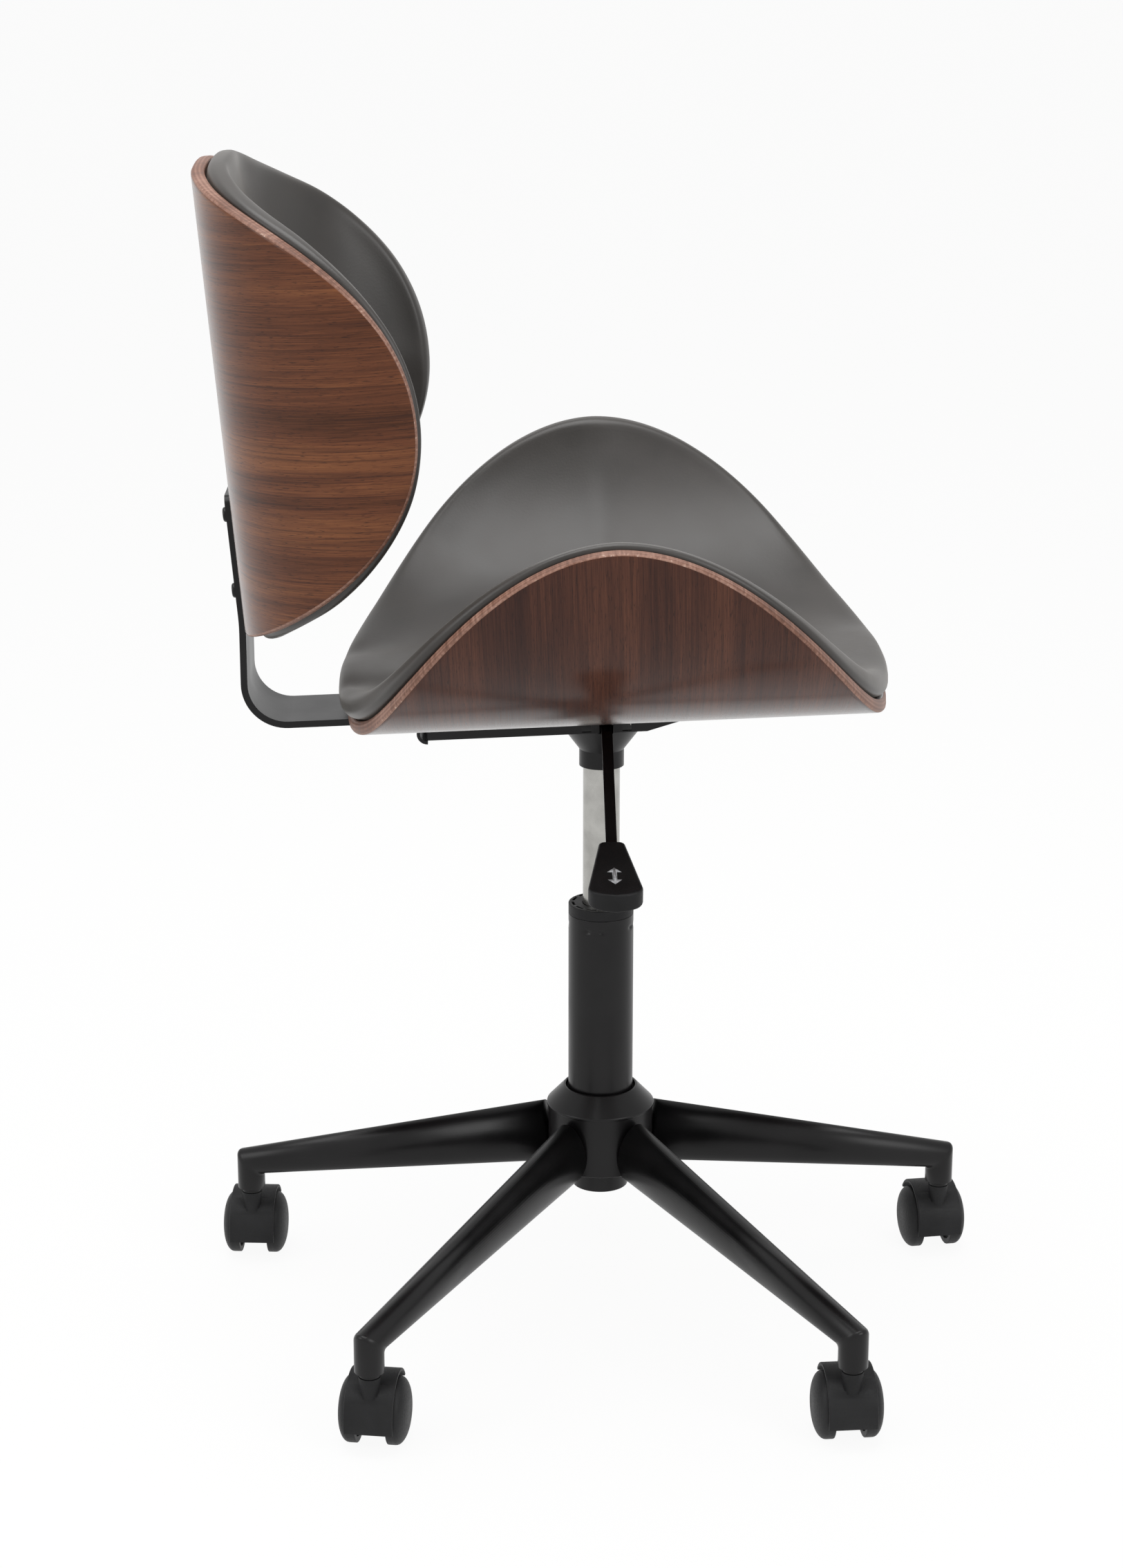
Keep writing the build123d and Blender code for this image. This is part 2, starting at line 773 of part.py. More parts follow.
def bent_point(sheet, girth, lift=0.0):
    """Section point at a signed distance round the bend, raised from the sheet by lift."""
    side = -1 if girth < 0 else 1
    run = abs(girth) - sheet.flat_half
    bend_length = sheet.bend_radius * radians(sheet.bend_angle)
    bend = min(max(run, 0), bend_length) / sheet.bend_radius
    wing = max(run - bend_length, 0) / sheet.wing_radius
    slope = bend + wing
    across = min(abs(girth), sheet.flat_half) + sheet.bend_radius * sin(bend)
    across += sheet.wing_radius * (sin(slope) - sin(bend)) - lift * sin(slope)
    depth = sheet.bend_radius * (1 - cos(bend)) + sheet.wing_radius * (cos(bend) - cos(slope))
    return side * across, depth + lift * cos(slope)


def press_hollow(sheet, lift=0.0):
    """Solid that fills the bend of a sheet, raised by lift and longer than the sheet."""
    plane = Plane(sheet.plane.origin + sheet.plane.y_dir * lift, sheet.plane.x_dir, sheet.plane.z_dir)
    length = sheet.front + sheet.rear
    with BuildPart() as hollow:
        with BuildSketch(plane.offset(-length)):
            with BuildLine():
                flat = Line((0, 0), (sheet.flat_half, 0))
                bend = JernArc(flat @ 1, flat % 1, sheet.bend_radius - lift, sheet.bend_angle)
                wing = JernArc(bend @ 1, bend % 1, sheet.wing_radius - lift, 90 - sheet.bend_angle)
                tip = Line(wing @ 1, wing @ 1 + Vector(0, sheet.flat_half))
                mirror(about=Plane.YZ)
                Line(tip @ 1, (-(tip @ 1).X, (tip @ 1).Y))
            make_face()
        extrude(amount=2 * length)
    return hollow


def rim_point(sheet, reach, angle):
    """Side-view point of the oval rim, from an end (0) to the wing's top (pi / 2)."""
    girth = sheet.half_girth * sin(angle) ** (2 / sheet.wing_power)
    return reach * max(cos(angle), 0) ** (2 / sheet.end_power), bent_point(sheet, girth)[1]


def trimmed_floor(sheet, steps=8):
    """Faces of the bent sheet inside its oval rim."""
    plane = sheet.plane
    start = asin((sheet.flat_half / sheet.half_girth) ** (sheet.wing_power / 2))
    angles = [start + (pi / 2 - start) * k / steps for k in range(steps + 1)]
    front_half = [rim_point(sheet, sheet.front, angle) for angle in angles]
    rear_half = [rim_point(sheet, -sheet.rear, angle) for angle in reversed(angles[:-1])]
    rim = front_half + rear_half
    below = -sheet.flat_half
    hollow = press_hollow(sheet)
    with BuildPart() as trimmed:
        add(hollow.part)
        with BuildSketch(Plane(plane.origin, plane.z_dir, plane.z_dir.cross(plane.y_dir))):
            with BuildLine():
                Spline(*rim)
                Polyline(rim[-1], (rim[-1][0], below), (rim[0][0], below), rim[0])
            make_face()
        extrude(amount=sheet.half_girth, both=True, mode=Mode.INTERSECT)
    into_sheet = Axis(plane.origin, plane.y_dir)
    flat = trimmed.faces().filter_by(into_sheet).sort_by(into_sheet)[:1]
    return trimmed.faces().filter_by(GeomType.CYLINDER) + flat


def rim_edges(shell, plane):
    """Both long edges of the shell's rim."""
    rim = [
        face for face in shell.faces()
        if face.geom_type != GeomType.CYLINDER and abs(face.normal_at().dot(plane.y_dir)) < 0.9
    ]
    return ShapeList(edge for face in rim for edge in face.edges() if edge.length > 1.5 * ply)


seat_nut_places = [(x, y + seat_forward) for x, y in seat_bolt_places]
back_bolt_places = [
    (side * back_bolt_spacing / 2, -height) for side in (-1, 1) for height in back_bolt_heights
]
seat_face = Plane(seat_plane.origin, seat_plane.x_dir, seat_plane.y_dir)
back_face = Plane(back_plane.origin, back_plane.x_dir, back_plane.y_dir)
nut_hole = {
    "radius": nut_barrel_diameter / 2 + fixed_clearance,
    "counter_bore_radius": nut_flange_diameter / 2 + fixed_clearance,
    "counter_bore_depth": nut_flange_thickness,
    "depth": ply,
}

with BuildPart() as seat_shell:
    thicken(trimmed_floor(seat_sheet), amount=ply)
    fillet(rim_edges(seat_shell, seat_plane), rim_round)
    with Locations(seat_face):
        with Locations(*seat_nut_places):
            CounterBoreHole(**nut_hole)
save(seat_shell.part, "seat_shell")

with BuildPart() as back_shell:
    thicken(trimmed_floor(back_sheet), amount=ply)
    fillet(rim_edges(back_shell, back_plane), rim_round)
    with Locations(back_face):
        with Locations(*back_bolt_places):
            CounterBoreHole(**nut_hole)
save(back_shell.part, "back_shell")

# Cushions: crowned, drawn in at the sides and ends, and seated on the shell's hollow

pad_stations = (-0.99, -0.96, -0.88, -0.7, -0.4, 0, 0.4, 0.7, 0.88, 0.96, 0.99)
pad_chain_points = 6


def crowned_pad(sheet, crown, edge, inset, overhang):
    """Loft a saddle cushion over a sheet and cut its underside to the sheet's bend."""
    sections = []
    for station in pad_stations:
        reach = station * ((sheet.front if station > 0 else sheet.rear) + overhang)
        girth = (sheet.half_girth - inset) * (1 - abs(station) ** sheet.end_power) ** (1 / sheet.wing_power)
        nose = max(abs(station) - pad_round_start, 0) / (1 - pad_round_start)
        half = crown / 2 * sqrt(1 - nose**2)
        middle = pad_clearance + crown / 2
        low = middle - 1.5 * half
        fall = (crown - edge) * half / (crown / 2)
        shoulder = 0.6 * half
        low_girth = girth - 0.4 * shoulder
        top_girth = girth - shoulder
        steps = range(-pad_chain_points, pad_chain_points + 1)
        under = [bent_point(sheet, low_girth * k / pad_chain_points, low) for k in steps]
        over = [
            bent_point(sheet, -top_girth * k / pad_chain_points, middle + half - fall * (k / pad_chain_points) ** 2)
            for k in steps
        ]
        with BuildLine(sheet.plane.offset(reach)) as outline:
            Spline(*under)
            ThreePointArc(under[-1], bent_point(sheet, girth, middle - fall / 2), over[0])
            Spline(*over)
            ThreePointArc(over[-1], bent_point(sheet, -girth, middle - fall / 2), under[0])
        sections.append(Face(outline.wire()))
    hollow = press_hollow(sheet, lift=pad_clearance)
    with BuildPart() as pad:
        loft(sections)
        add(hollow.part, mode=Mode.INTERSECT)
    return pad


seat_pad = crowned_pad(seat_sheet, seat_pad_crown, seat_pad_edge, seat_pad_inset, seat_pad_overhang)
save(seat_pad.part, "seat_pad")

back_pad = crowned_pad(back_sheet, back_pad_crown, back_pad_edge, back_pad_inset, back_pad_overhang)
save(back_pad.part, "back_pad")

# Back bracket: one flat bar under the seat, bent up behind it and along the back

bar_lift = ply + bracket_thickness / 2
under_seat = seat_plane.origin - seat_plane.y_dir * bar_lift
behind_back = back_plane.origin - back_plane.y_dir * bar_lift
bar_front = under_seat + seat_plane.z_dir * (bracket_front - seat_forward)
bar_top = behind_back + back_plane.z_dir * bracket_top
bar_knee = behind_back + back_plane.z_dir * bracket_knee
heel_run = (bar_knee.Y - under_seat.Y) / seat_plane.z_dir.Y
bar_heel = under_seat + seat_plane.z_dir * heel_run

with BuildPart() as back_bracket:
    with BuildSketch(Plane.YZ):
        with BuildLine():
            FilletPolyline(
                *[(point.Y, point.Z) for point in (bar_front, bar_heel, bar_knee, bar_top)],
                radius=[bracket_heel_radius, bracket_knee_radius],
            )
        trace(line_width=bracket_thickness)
    extrude(amount=bracket_width / 2, both=True)
    end_edges = [
        edge for edge in back_bracket.edges().filter_by(GeomType.LINE)
        if abs(edge.length - bracket_thickness) < bracket_thickness / 100
        and ((edge @ 0.5 - bar_front).length < bracket_width or (edge @ 0.5 - bar_top).length < bracket_width)
    ]
    fillet(end_edges, bracket_corner)
    bolt_hole = bolt_diameter / 2 + bolt_clearance
    with Locations(seat_face):
        with Locations(*seat_nut_places):
            Hole(bolt_hole, 2 * bar_lift)
    with Locations(back_face):
        with Locations(*back_bolt_places):
            Hole(bolt_hole, 2 * bar_lift)
save(back_bracket.part, "back_bracket")

# Bolts and flanged nuts, as groups


def bolt_group(face, places, grip):
    """Pan-head bolts whose heads bear at depth grip below the hollow face of a shell."""
    head_face = face.offset(-grip)
    with BuildPart() as bolts:
        with BuildSketch(head_face):
            with Locations(*places):
                Circle(bolt_diameter / 2)
        extrude(amount=grip - nut_flange_thickness)
        with BuildSketch(head_face):
            with Locations(*places):
                Circle(bolt_head_diameter / 2)
        extrude(amount=-bolt_head_height)
        crowns = bolts.faces().filter_by(face).sort_by(Axis(face.origin, face.z_dir))[: len(places)]
        fillet(crowns.edges(), bolt_head_height / 2)
    return bolts


def nut_group(face, places):
    """Flanged nuts sunk flush into the hollow face of a shell."""
    with BuildPart() as nuts:
        for diameter, length in (
            (nut_flange_diameter, nut_flange_thickness),
            (nut_barrel_diameter, nut_barrel_length),
        ):
            with BuildSketch(face):
                with Locations(*places):
                    Circle(diameter / 2)
                    Circle(bolt_diameter / 2 + fixed_clearance, mode=Mode.SUBTRACT)
            extrude(amount=-length)
    return nuts


seat_bolts = bolt_group(seat_face, seat_nut_places, ply + bracket_thickness + plate_thickness)
save(seat_bolts.part, "seat_bolts")
back_bolts = bolt_group(back_face, back_bolt_places, ply + bracket_thickness)
save(back_bolts.part, "back_bolts")
save(nut_group(seat_face, seat_nut_places).part, "seat_nuts")
save(nut_group(back_face, back_bolt_places).part, "back_nuts")
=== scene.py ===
from collections import namedtuple
from math import atan2, copysign, cos, exp, hypot, pi, radians, sin

import bmesh
import bpy
from mathutils import Matrix, Vector


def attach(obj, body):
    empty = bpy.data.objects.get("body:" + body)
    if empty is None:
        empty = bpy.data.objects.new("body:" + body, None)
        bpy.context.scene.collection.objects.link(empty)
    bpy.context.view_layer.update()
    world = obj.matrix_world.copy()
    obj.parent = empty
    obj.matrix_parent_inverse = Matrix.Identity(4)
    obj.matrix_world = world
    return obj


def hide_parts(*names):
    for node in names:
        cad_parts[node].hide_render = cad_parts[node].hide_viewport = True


# Rolling chair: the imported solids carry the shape, and this script gives each piece that shows
# its finish. Metres. +Z is up, the sitter faces -Y and the lever is on -X.

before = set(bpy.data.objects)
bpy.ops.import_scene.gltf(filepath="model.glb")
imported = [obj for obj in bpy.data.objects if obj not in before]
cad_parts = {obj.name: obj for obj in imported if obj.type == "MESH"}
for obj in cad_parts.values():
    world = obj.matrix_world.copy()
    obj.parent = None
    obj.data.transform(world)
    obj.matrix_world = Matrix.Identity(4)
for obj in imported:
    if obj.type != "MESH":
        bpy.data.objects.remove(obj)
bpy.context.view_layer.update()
MM = 0.001
MERGE = MM / 1000
VERT, EDGE = bmesh.types.BMVert, bmesh.types.BMEdge

# Sizes repeated from the part's source

PLY = 10 * MM
RIM_ROUND = 3 * MM
SEAT_TILT = radians(2.2)
BACK_LEAN = radians(5)

Sheet = namedtuple(
    "Sheet",
    "origin across into along flat_half bend_radius bend_angle wing_radius half_girth"
    " front rear end_power wing_power",
)
SEAT_SHEET = Sheet(
    origin=Vector((0, -6.323, 512.256)) * MM, across=Vector((1, 0, 0)),
    into=Vector((0, sin(SEAT_TILT), cos(SEAT_TILT))),
    along=Vector((0, -cos(SEAT_TILT), sin(SEAT_TILT))),
    flat_half=38 * MM, bend_radius=330 * MM, bend_angle=radians(17.2), wing_radius=164 * MM,
    half_girth=330 * MM, front=203 * MM, rear=197 * MM, end_power=1.88, wing_power=2.16,
)
BACK_SHEET = Sheet(
    origin=Vector((0, 267, 727.256)) * MM, across=Vector((-1, 0, 0)),
    into=Vector((0, -cos(BACK_LEAN), sin(BACK_LEAN))),
    along=Vector((0, sin(BACK_LEAN), cos(BACK_LEAN))),
    flat_half=38 * MM, bend_radius=180 * MM, bend_angle=radians(17.8), wing_radius=123 * MM,
    half_girth=258 * MM, front=174.5 * MM, rear=166.5 * MM, end_power=2.1, wing_power=2.05,
)
PAD_GAP = 0.6 * MM

COLUMN_RADIUS, COLUMN_BORE, COLUMN_TOP = 25 * MM, 23 * MM, 330 * MM
TAPER_RADIUS, TAPER_BORE = 21.5 * MM, 19.5 * MM
TAPER_BOTTOM, TAPER_TOP = 106 * MM, 178 * MM
BUSH_RADIUS, BUSH_BORE = 22.9 * MM, 14.25 * MM
BUSH_BOTTOM, BUSH_TOP = 255 * MM, 338 * MM
CYLINDER_RADIUS, CYLINDER_BORE, ROD_HOLE = 14 * MM, 12 * MM, 5.25 * MM
CYLINDER_BOTTOM, CYLINDER_FLOOR, CYLINDER_TOP = 227.3 * MM, 237.3 * MM, 474 * MM
NOSE_BOTTOM, NOSE_CEILING = 448 * MM, 466 * MM
NOSE_RADIUS, NOSE_BORE, BUTTON_HOLE = 13 * MM, 11 * MM, 4.25 * MM

PADDLE_LENGTH = 88 * MM
PADDLE_DROP = 12 * MM
PADDLE_ROOT = Vector((-146.963, -2, 428.76)) * MM
PADDLE_TOP = 4.5 * MM

LEG_COUNT = 5
LEG_TIP_HEIGHT = 87 * MM
LEG_ROOT_HEIGHT = 145 * MM
LEG_ROOT_HALF_WIDTH = 14 * MM
LEG_ROOT_HALF_HEIGHT = 25 * MM
SOCKET_BOTTOM = 65 * MM
SOCKET_RADIUS = 11 * MM
SHROUD_RADIUS, SHROUD_BORE = 40.5 * MM, 38 * MM
CASTER_CIRCLE = 296 * MM
CASTER_TRAIL = 19 * MM
CASTER_TURNS = (4, -4, -9, 4, 8)
AXLE_HEIGHT = 25 * MM

# Sizes of the detail that is made here

CRIMP_HEIGHT = 321 * MM
CRIMP_WIDTH, CRIMP_RISE, CRIMP_DEPTH = 2.6 * MM, 1.6 * MM, 1.1 * MM
CRIMP_ANGLES = [radians(first + 90 * k) for first in (154, 180) for k in range(4)]
SLOT_OUTER, SLOT_INNER, SLOT_DEPTH = 22.4 * MM, 20.4 * MM, 1.5 * MM
HOOD_CUT_HEIGHT = 19 * MM
INK_THICKNESS = 0.12 * MM
SCREW_GIRTH = 76 * MM
SCREW_FRONT, SCREW_REAR = 136 * MM, -124 * MM

# Sockets of a Mix node by index, because their names repeat
SHARE, FLOAT_A, FLOAT_B, COLOUR_A, COLOUR_B = 0, 2, 3, 6, 7
COLOUR_OUT = 2


def linear(code):
    """Linear RGBA of an sRGB hex colour."""
    channels = [int(code[k:k + 2], 16) / 255 for k in (1, 3, 5)]
    return tuple(
        c / 12.92 if c <= 0.04045 else ((c + 0.055) / 1.055) ** 2.4 for c in channels
    ) + (1.0,)


def set_inputs(tree, node, inputs):
    """Link or set a node's inputs, by name or index, or as a list from the first one on."""
    for key, value in inputs.items() if isinstance(inputs, dict) else enumerate(inputs):
        if isinstance(value, bpy.types.NodeSocket):
            tree.links.new(value, node.inputs[key])
        else:
            node.inputs[key].default_value = value


def add_node(tree, kind, inputs=(), stops=None, **settings):
    """Add one node with its settings, its ramp's stops and its inputs."""
    node = tree.nodes.new(kind)
    for name, value in settings.items():
        setattr(node, name, value)
    if stops:
        elements = node.color_ramp.elements
        for element, (place, shade) in ((elements[0], stops[0]), (elements[1], stops[-1])):
            element.position, element.color = place, linear(shade)
        for place, shade in stops[1:-1]:
            elements.new(place).color = linear(shade)
    set_inputs(tree, node, inputs)
    return node


def new_finish(name):
    """Material with an empty Principled shader: the material, its tree and the shader."""
    material = bpy.data.materials.new(name)
    material.use_nodes = True
    return material, material.node_tree, material.node_tree.nodes["Principled BSDF"]


# Finishes. A Map Range node's list is its value, the range it comes from and the range it gives.


def walnut_veneer(name, shades):
    """Sliced walnut under lacquer: dark lines along the bend, fine pores, white when grazed."""
    finish, tree, shader = new_finish(name)
    sheet = add_node(tree, "ShaderNodeUVMap", uv_map="sheet").outputs["UV"]
    layers = {}
    # Each layer's length along the grain and width across it, in millimetres, and its detail
    for layer, length, width, detail in (
        ("figure", 600, 34, 2.0), ("line", 190, 2.6, 3.0),
        ("fibre", 45, 0.9, 2.0), ("pore", 8, 0.7, 1.0),
    ):
        place = add_node(tree, "ShaderNodeMapping", {
            "Vector": sheet, "Scale": (1000 / length, 1000 / width, 1),
        })
        layers[layer] = add_node(tree, "ShaderNodeTexNoise", {
            "Vector": place.outputs[0], "Scale": 1.0, "Detail": detail, "Roughness": 0.55,
            "Distortion": 0.5,
        }).outputs[0]
    grain = add_node(tree, "ShaderNodeMix", {
        SHARE: 0.35, FLOAT_A: layers["figure"], FLOAT_B: layers["fibre"],
    })
    wood = add_node(
        tree, "ShaderNodeValToRGB", [grain.outputs[0]],
        stops=list(zip((0.36, 0.50, 0.64), shades)),
    )
    lines = add_node(tree, "ShaderNodeMapRange", (layers["line"], 0.50, 0.68, 0.0, 0.6))
    lined = add_node(tree, "ShaderNodeMix", {
        SHARE: lines.outputs[0], COLOUR_A: wood.outputs[0], COLOUR_B: linear("#2a130c"),
    }, data_type="RGBA")
    pores = add_node(tree, "ShaderNodeMapRange", (layers["pore"], 0.60, 0.70, 0.0, 0.6))
    stained = add_node(tree, "ShaderNodeMix", {
        SHARE: pores.outputs[0], COLOUR_A: lined.outputs[COLOUR_OUT], COLOUR_B: linear("#1c0c08"),
    }, data_type="RGBA")
    gloss = add_node(tree, "ShaderNodeMapRange", (layers["fibre"], 0.3, 0.7, 0.40, 0.52))
    relief = add_node(
        tree, "ShaderNodeMath", (layers["fibre"], pores.outputs[0]), operation="SUBTRACT",
    )
    bump = add_node(tree, "ShaderNodeBump", {
        "Height": relief.outputs[0], "Strength": 0.12, "Distance": 0.15 * MM,
    })
    set_inputs(tree, shader, {
        "Base Color": stained.outputs[COLOUR_OUT], "Roughness": gloss.outputs[0],
        "Normal": bump.outputs[0], "Specular IOR Level": 0.08,
        "Coat Weight": 1.0, "Coat IOR": 1.25, "Coat Roughness": 0.2,
    })
    return finish


def ply_edge():
    """Stained ply edge: light and dark plies, end-grain flecks, and painted glints with wear on the
    outer arris.
    """
    finish, tree, shader = new_finish("stained_ply_edge")
    depth = add_node(tree, "ShaderNodeAttribute", attribute_name="ply_depth").outputs["Fac"]
    sheet = add_node(tree, "ShaderNodeUVMap", uv_map="sheet").outputs["UV"]
    # Seven plies of about 1.4 mm through the 10 mm sheet
    phase = add_node(tree, "ShaderNodeMath", (depth, 7 * pi), operation="MULTIPLY")
    plies = add_node(tree, "ShaderNodeMath", [phase.outputs[0]], operation="SINE")
    flecks = add_node(tree, "ShaderNodeTexNoise", {
        "Vector": sheet, "Scale": 1 / (2.5 * MM), "Detail": 3.0, "Roughness": 0.6,
    }).outputs[0]
    clouds = add_node(tree, "ShaderNodeTexNoise", {
        "Vector": sheet, "Scale": 1 / (70 * MM), "Detail": 2.0,
    }).outputs[0]
    layered = add_node(
        tree, "ShaderNodeMath", (plies.outputs[0], 0.10, flecks), operation="MULTIPLY_ADD",
    ).outputs[0]
    tone = add_node(tree, "ShaderNodeMix", {SHARE: 0.45, FLOAT_A: layered, FLOAT_B: clouds})
    colour = add_node(tree, "ShaderNodeValToRGB", [tone.outputs[0]], stops=(
        (0.30, "#50352a"), (0.48, "#735143"), (0.66, "#9b7869"),
    ))
    # Pale flecks near the outer arris are painted highlights: glints of the lamps on the sharp
    # edge, drawn as patches of wear
    near_arris = add_node(tree, "ShaderNodeMapRange", (depth, 0.80, 0.93, 0.0, 1.0))
    glint_and_rub_flecks = add_node(tree, "ShaderNodeMapRange", (flecks, 0.60, 0.68, 0.0, 0.8))
    zones = add_node(tree, "ShaderNodeMapRange", (clouds, 0.54, 0.62, 0.0, 1.0))
    glint_and_wear_spots = add_node(
        tree, "ShaderNodeMath", (near_arris.outputs[0], glint_and_rub_flecks.outputs[0]), operation="MULTIPLY",
    )
    glint_and_wear = add_node(
        tree, "ShaderNodeMath", (glint_and_wear_spots.outputs[0], zones.outputs[0]), operation="MULTIPLY",
    )
    glinted_and_worn = add_node(tree, "ShaderNodeMix", {
        SHARE: glint_and_wear.outputs[0], COLOUR_A: colour.outputs[0], COLOUR_B: linear("#d9c6b8"),
    }, data_type="RGBA")
    gloss = add_node(tree, "ShaderNodeMapRange", (flecks, 0.3, 0.7, 0.38, 0.55))
    bump = add_node(tree, "ShaderNodeBump", {
        "Height": layered, "Strength": 0.15, "Distance": 0.2 * MM,
    })
    set_inputs(tree, shader, {
        "Base Color": glinted_and_worn.outputs[COLOUR_OUT], "Roughness": gloss.outputs[0],
        "Normal": bump.outputs[0], "Specular IOR Level": 0.25,
    })
    return finish


def leatherette():
    """Polyurethane leatherette: smooth charcoal skin with a pressed pebble and a soft sheen."""
    finish, tree, shader = new_finish("polyurethane_leatherette")
    place = add_node(tree, "ShaderNodeTexCoord").outputs["Object"]
    # The real pebble is about 0.8 mm: drawn at 1.6 mm so that it shows
    pebble = add_node(tree, "ShaderNodeTexVoronoi", {
        "Vector": place, "Scale": 1 / (1.6 * MM),
    }, feature="SMOOTH_F1")
    clouds = add_node(tree, "ShaderNodeTexNoise", {
        "Vector": place, "Scale": 1 / (60 * MM), "Detail": 4.0, "Roughness": 0.6,
    }).outputs[0]
    colour = add_node(tree, "ShaderNodeValToRGB", [clouds], stops=(
        (0.30, "#282522"), (0.70, "#322e2b"),
    ))
    gloss = add_node(tree, "ShaderNodeMapRange", (clouds, 0.3, 0.7, 0.36, 0.46))
    bump = add_node(tree, "ShaderNodeBump", {
        "Height": pebble.outputs["Distance"], "Strength": 0.12, "Distance": 0.25 * MM,
    })
    set_inputs(tree, shader, {
        "Base Color": colour.outputs[0], "Roughness": gloss.outputs[0], "Normal": bump.outputs[0],
        "Sheen Weight": 0.2, "Sheen Roughness": 0.35, "Sheen Tint": linear("#cfc8c0"),
    })
    return finish


def powder_coat():
    """Black polyester powder coat on steel: even satin black with a slight orange peel."""
    finish, tree, shader = new_finish("black_powder_coat")
    place = add_node(tree, "ShaderNodeTexCoord").outputs["Object"]
    peel = add_node(tree, "ShaderNodeTexNoise", {
        "Vector": place, "Scale": 1 / (1.8 * MM), "Detail": 2.0,
    })
    clouds = add_node(tree, "ShaderNodeTexNoise", {
        "Vector": place, "Scale": 1 / (45 * MM), "Detail": 3.0,
    }).outputs[0]
    colour = add_node(tree, "ShaderNodeValToRGB", [clouds], stops=(
        (0.35, "#0c0b0c"), (0.65, "#141314"),
    ))
    gloss = add_node(tree, "ShaderNodeMapRange", (clouds, 0.3, 0.7, 0.28, 0.36))
    bump = add_node(tree, "ShaderNodeBump", {
        "Height": peel.outputs[0], "Strength": 0.10, "Distance": 0.15 * MM,
    })
    set_inputs(tree, shader, {
        "Base Color": colour.outputs[0], "Roughness": gloss.outputs[0], "Normal": bump.outputs[0],
        "IOR": 1.34,
    })
    return finish


def ground_steel():
    """Ground and plated steel tube: satin grey, fine grinding rings, faint oily mottling."""
    finish, tree, shader = new_finish("ground_plated_steel")
    place = add_node(tree, "ShaderNodeTexCoord").outputs["Object"]
    # Grinding lines are about 0.1 mm: drawn at 0.9 mm, and 40 mm round, so that they show
    rings_place = add_node(tree, "ShaderNodeMapping", {
        "Vector": place, "Scale": (25, 25, 1 / (0.9 * MM)),
    })
    rings = add_node(tree, "ShaderNodeTexNoise", {
        "Vector": rings_place.outputs[0], "Scale": 1.0, "Detail": 2.0,
    })
    mottle = add_node(tree, "ShaderNodeTexNoise", {
        "Vector": place, "Scale": 1 / (14 * MM), "Detail": 3.0, "Roughness": 0.5,
    }).outputs[0]
    colour = add_node(tree, "ShaderNodeValToRGB", [mottle], stops=(
        (0.30, "#a09f9b"), (0.70, "#b6b5b1"),
    ))
    gloss = add_node(tree, "ShaderNodeMapRange", (mottle, 0.3, 0.7, 0.22, 0.30))
    bump = add_node(tree, "ShaderNodeBump", {
        "Height": rings.outputs[0], "Strength": 0.08, "Distance": 0.1 * MM,
    })
    set_inputs(tree, shader, {
        "Base Color": colour.outputs[0], "Roughness": gloss.outputs[0], "Normal": bump.outputs[0],
        "Metallic": 1.0,
    })
    return finish


def moulded_plastic(name, shades, dullness, grain):
    """Moulded black plastic: spark-textured skin, grain in metres, duller in the hollows."""
    finish, tree, shader = new_finish(name)
    place = add_node(tree, "ShaderNodeTexCoord").outputs["Object"]
    texture = add_node(tree, "ShaderNodeTexNoise", {
        "Vector": place, "Scale": 1 / grain, "Detail": 3.0,
    }).outputs[0]
    flow = add_node(tree, "ShaderNodeTexNoise", {
        "Vector": place, "Scale": 1 / (30 * MM), "Detail": 3.0,
    })
    colour = add_node(
        tree, "ShaderNodeValToRGB", [flow.outputs[0]], stops=list(zip((0.35, 0.65), shades)),
    )
    gloss = add_node(tree, "ShaderNodeMapRange", (texture, 0.3, 0.7, *dullness))
    bump = add_node(tree, "ShaderNodeBump", {
        "Height": texture, "Strength": 0.15, "Distance": 0.12 * MM,
    })
    set_inputs(tree, shader, {
        "Base Color": colour.outputs[0], "Roughness": gloss.outputs[0], "Normal": bump.outputs[0],
        "IOR": 1.3,
    })
    return finish


def printed_ink():
    """Screen-printed pale grey ink: matt, a little thin and patchy where fingers rub it."""
    finish, tree, shader = new_finish("screen_printed_ink")
    place = add_node(tree, "ShaderNodeTexCoord").outputs["Object"]
    patches = add_node(tree, "ShaderNodeTexNoise", {
        "Vector": place, "Scale": 1 / (2.5 * MM), "Detail": 3.0,
    }).outputs[0]
    colour = add_node(tree, "ShaderNodeValToRGB", [patches], stops=(
        (0.30, "#8d8e90"), (0.60, "#cfd1d4"),
    ))
    gloss = add_node(tree, "ShaderNodeMapRange", (patches, 0.3, 0.7, 0.5, 0.7))
    set_inputs(tree, shader, {"Base Color": colour.outputs[0], "Roughness": gloss.outputs[0]})
    return finish


# The seat's veneer is darker than the back's. This is partly another sheet of veneer and partly
# painted shade for the seat's less lit side.
seat_veneer = walnut_veneer("lacquered_walnut_veneer_dark_and_shaded", ("#311811", "#47271b", "#5c3626"))
back_veneer = walnut_veneer("lacquered_walnut_veneer", ("#40210f", "#5e3520", "#7b4c2e"))
edge_wood = ply_edge()
cover = leatherette()
black_coat = powder_coat()
bright_steel = ground_steel()
nylon = moulded_plastic("moulded_black_nylon", ("#0f0f10", "#181819"), (0.42, 0.56), 0.9 * MM)
hood_nylon = moulded_plastic("moulded_caster_nylon", ("#181819", "#212122"), (0.46, 0.62), 1.2 * MM)
wheel_nylon = moulded_plastic("moulded_wheel_nylon", ("#1d1d1e", "#282829"), (0.46, 0.60), 1.2 * MM)
ink = printed_ink()

# Pieces


def add_mesh(bm, name):
    """New object at the origin with the mesh, which is then freed."""
    mesh = bpy.data.meshes.new(name)
    bm.to_mesh(mesh)
    bm.free()
    thing = bpy.data.objects.new(name, mesh)
    bpy.context.scene.collection.objects.link(thing)
    return thing


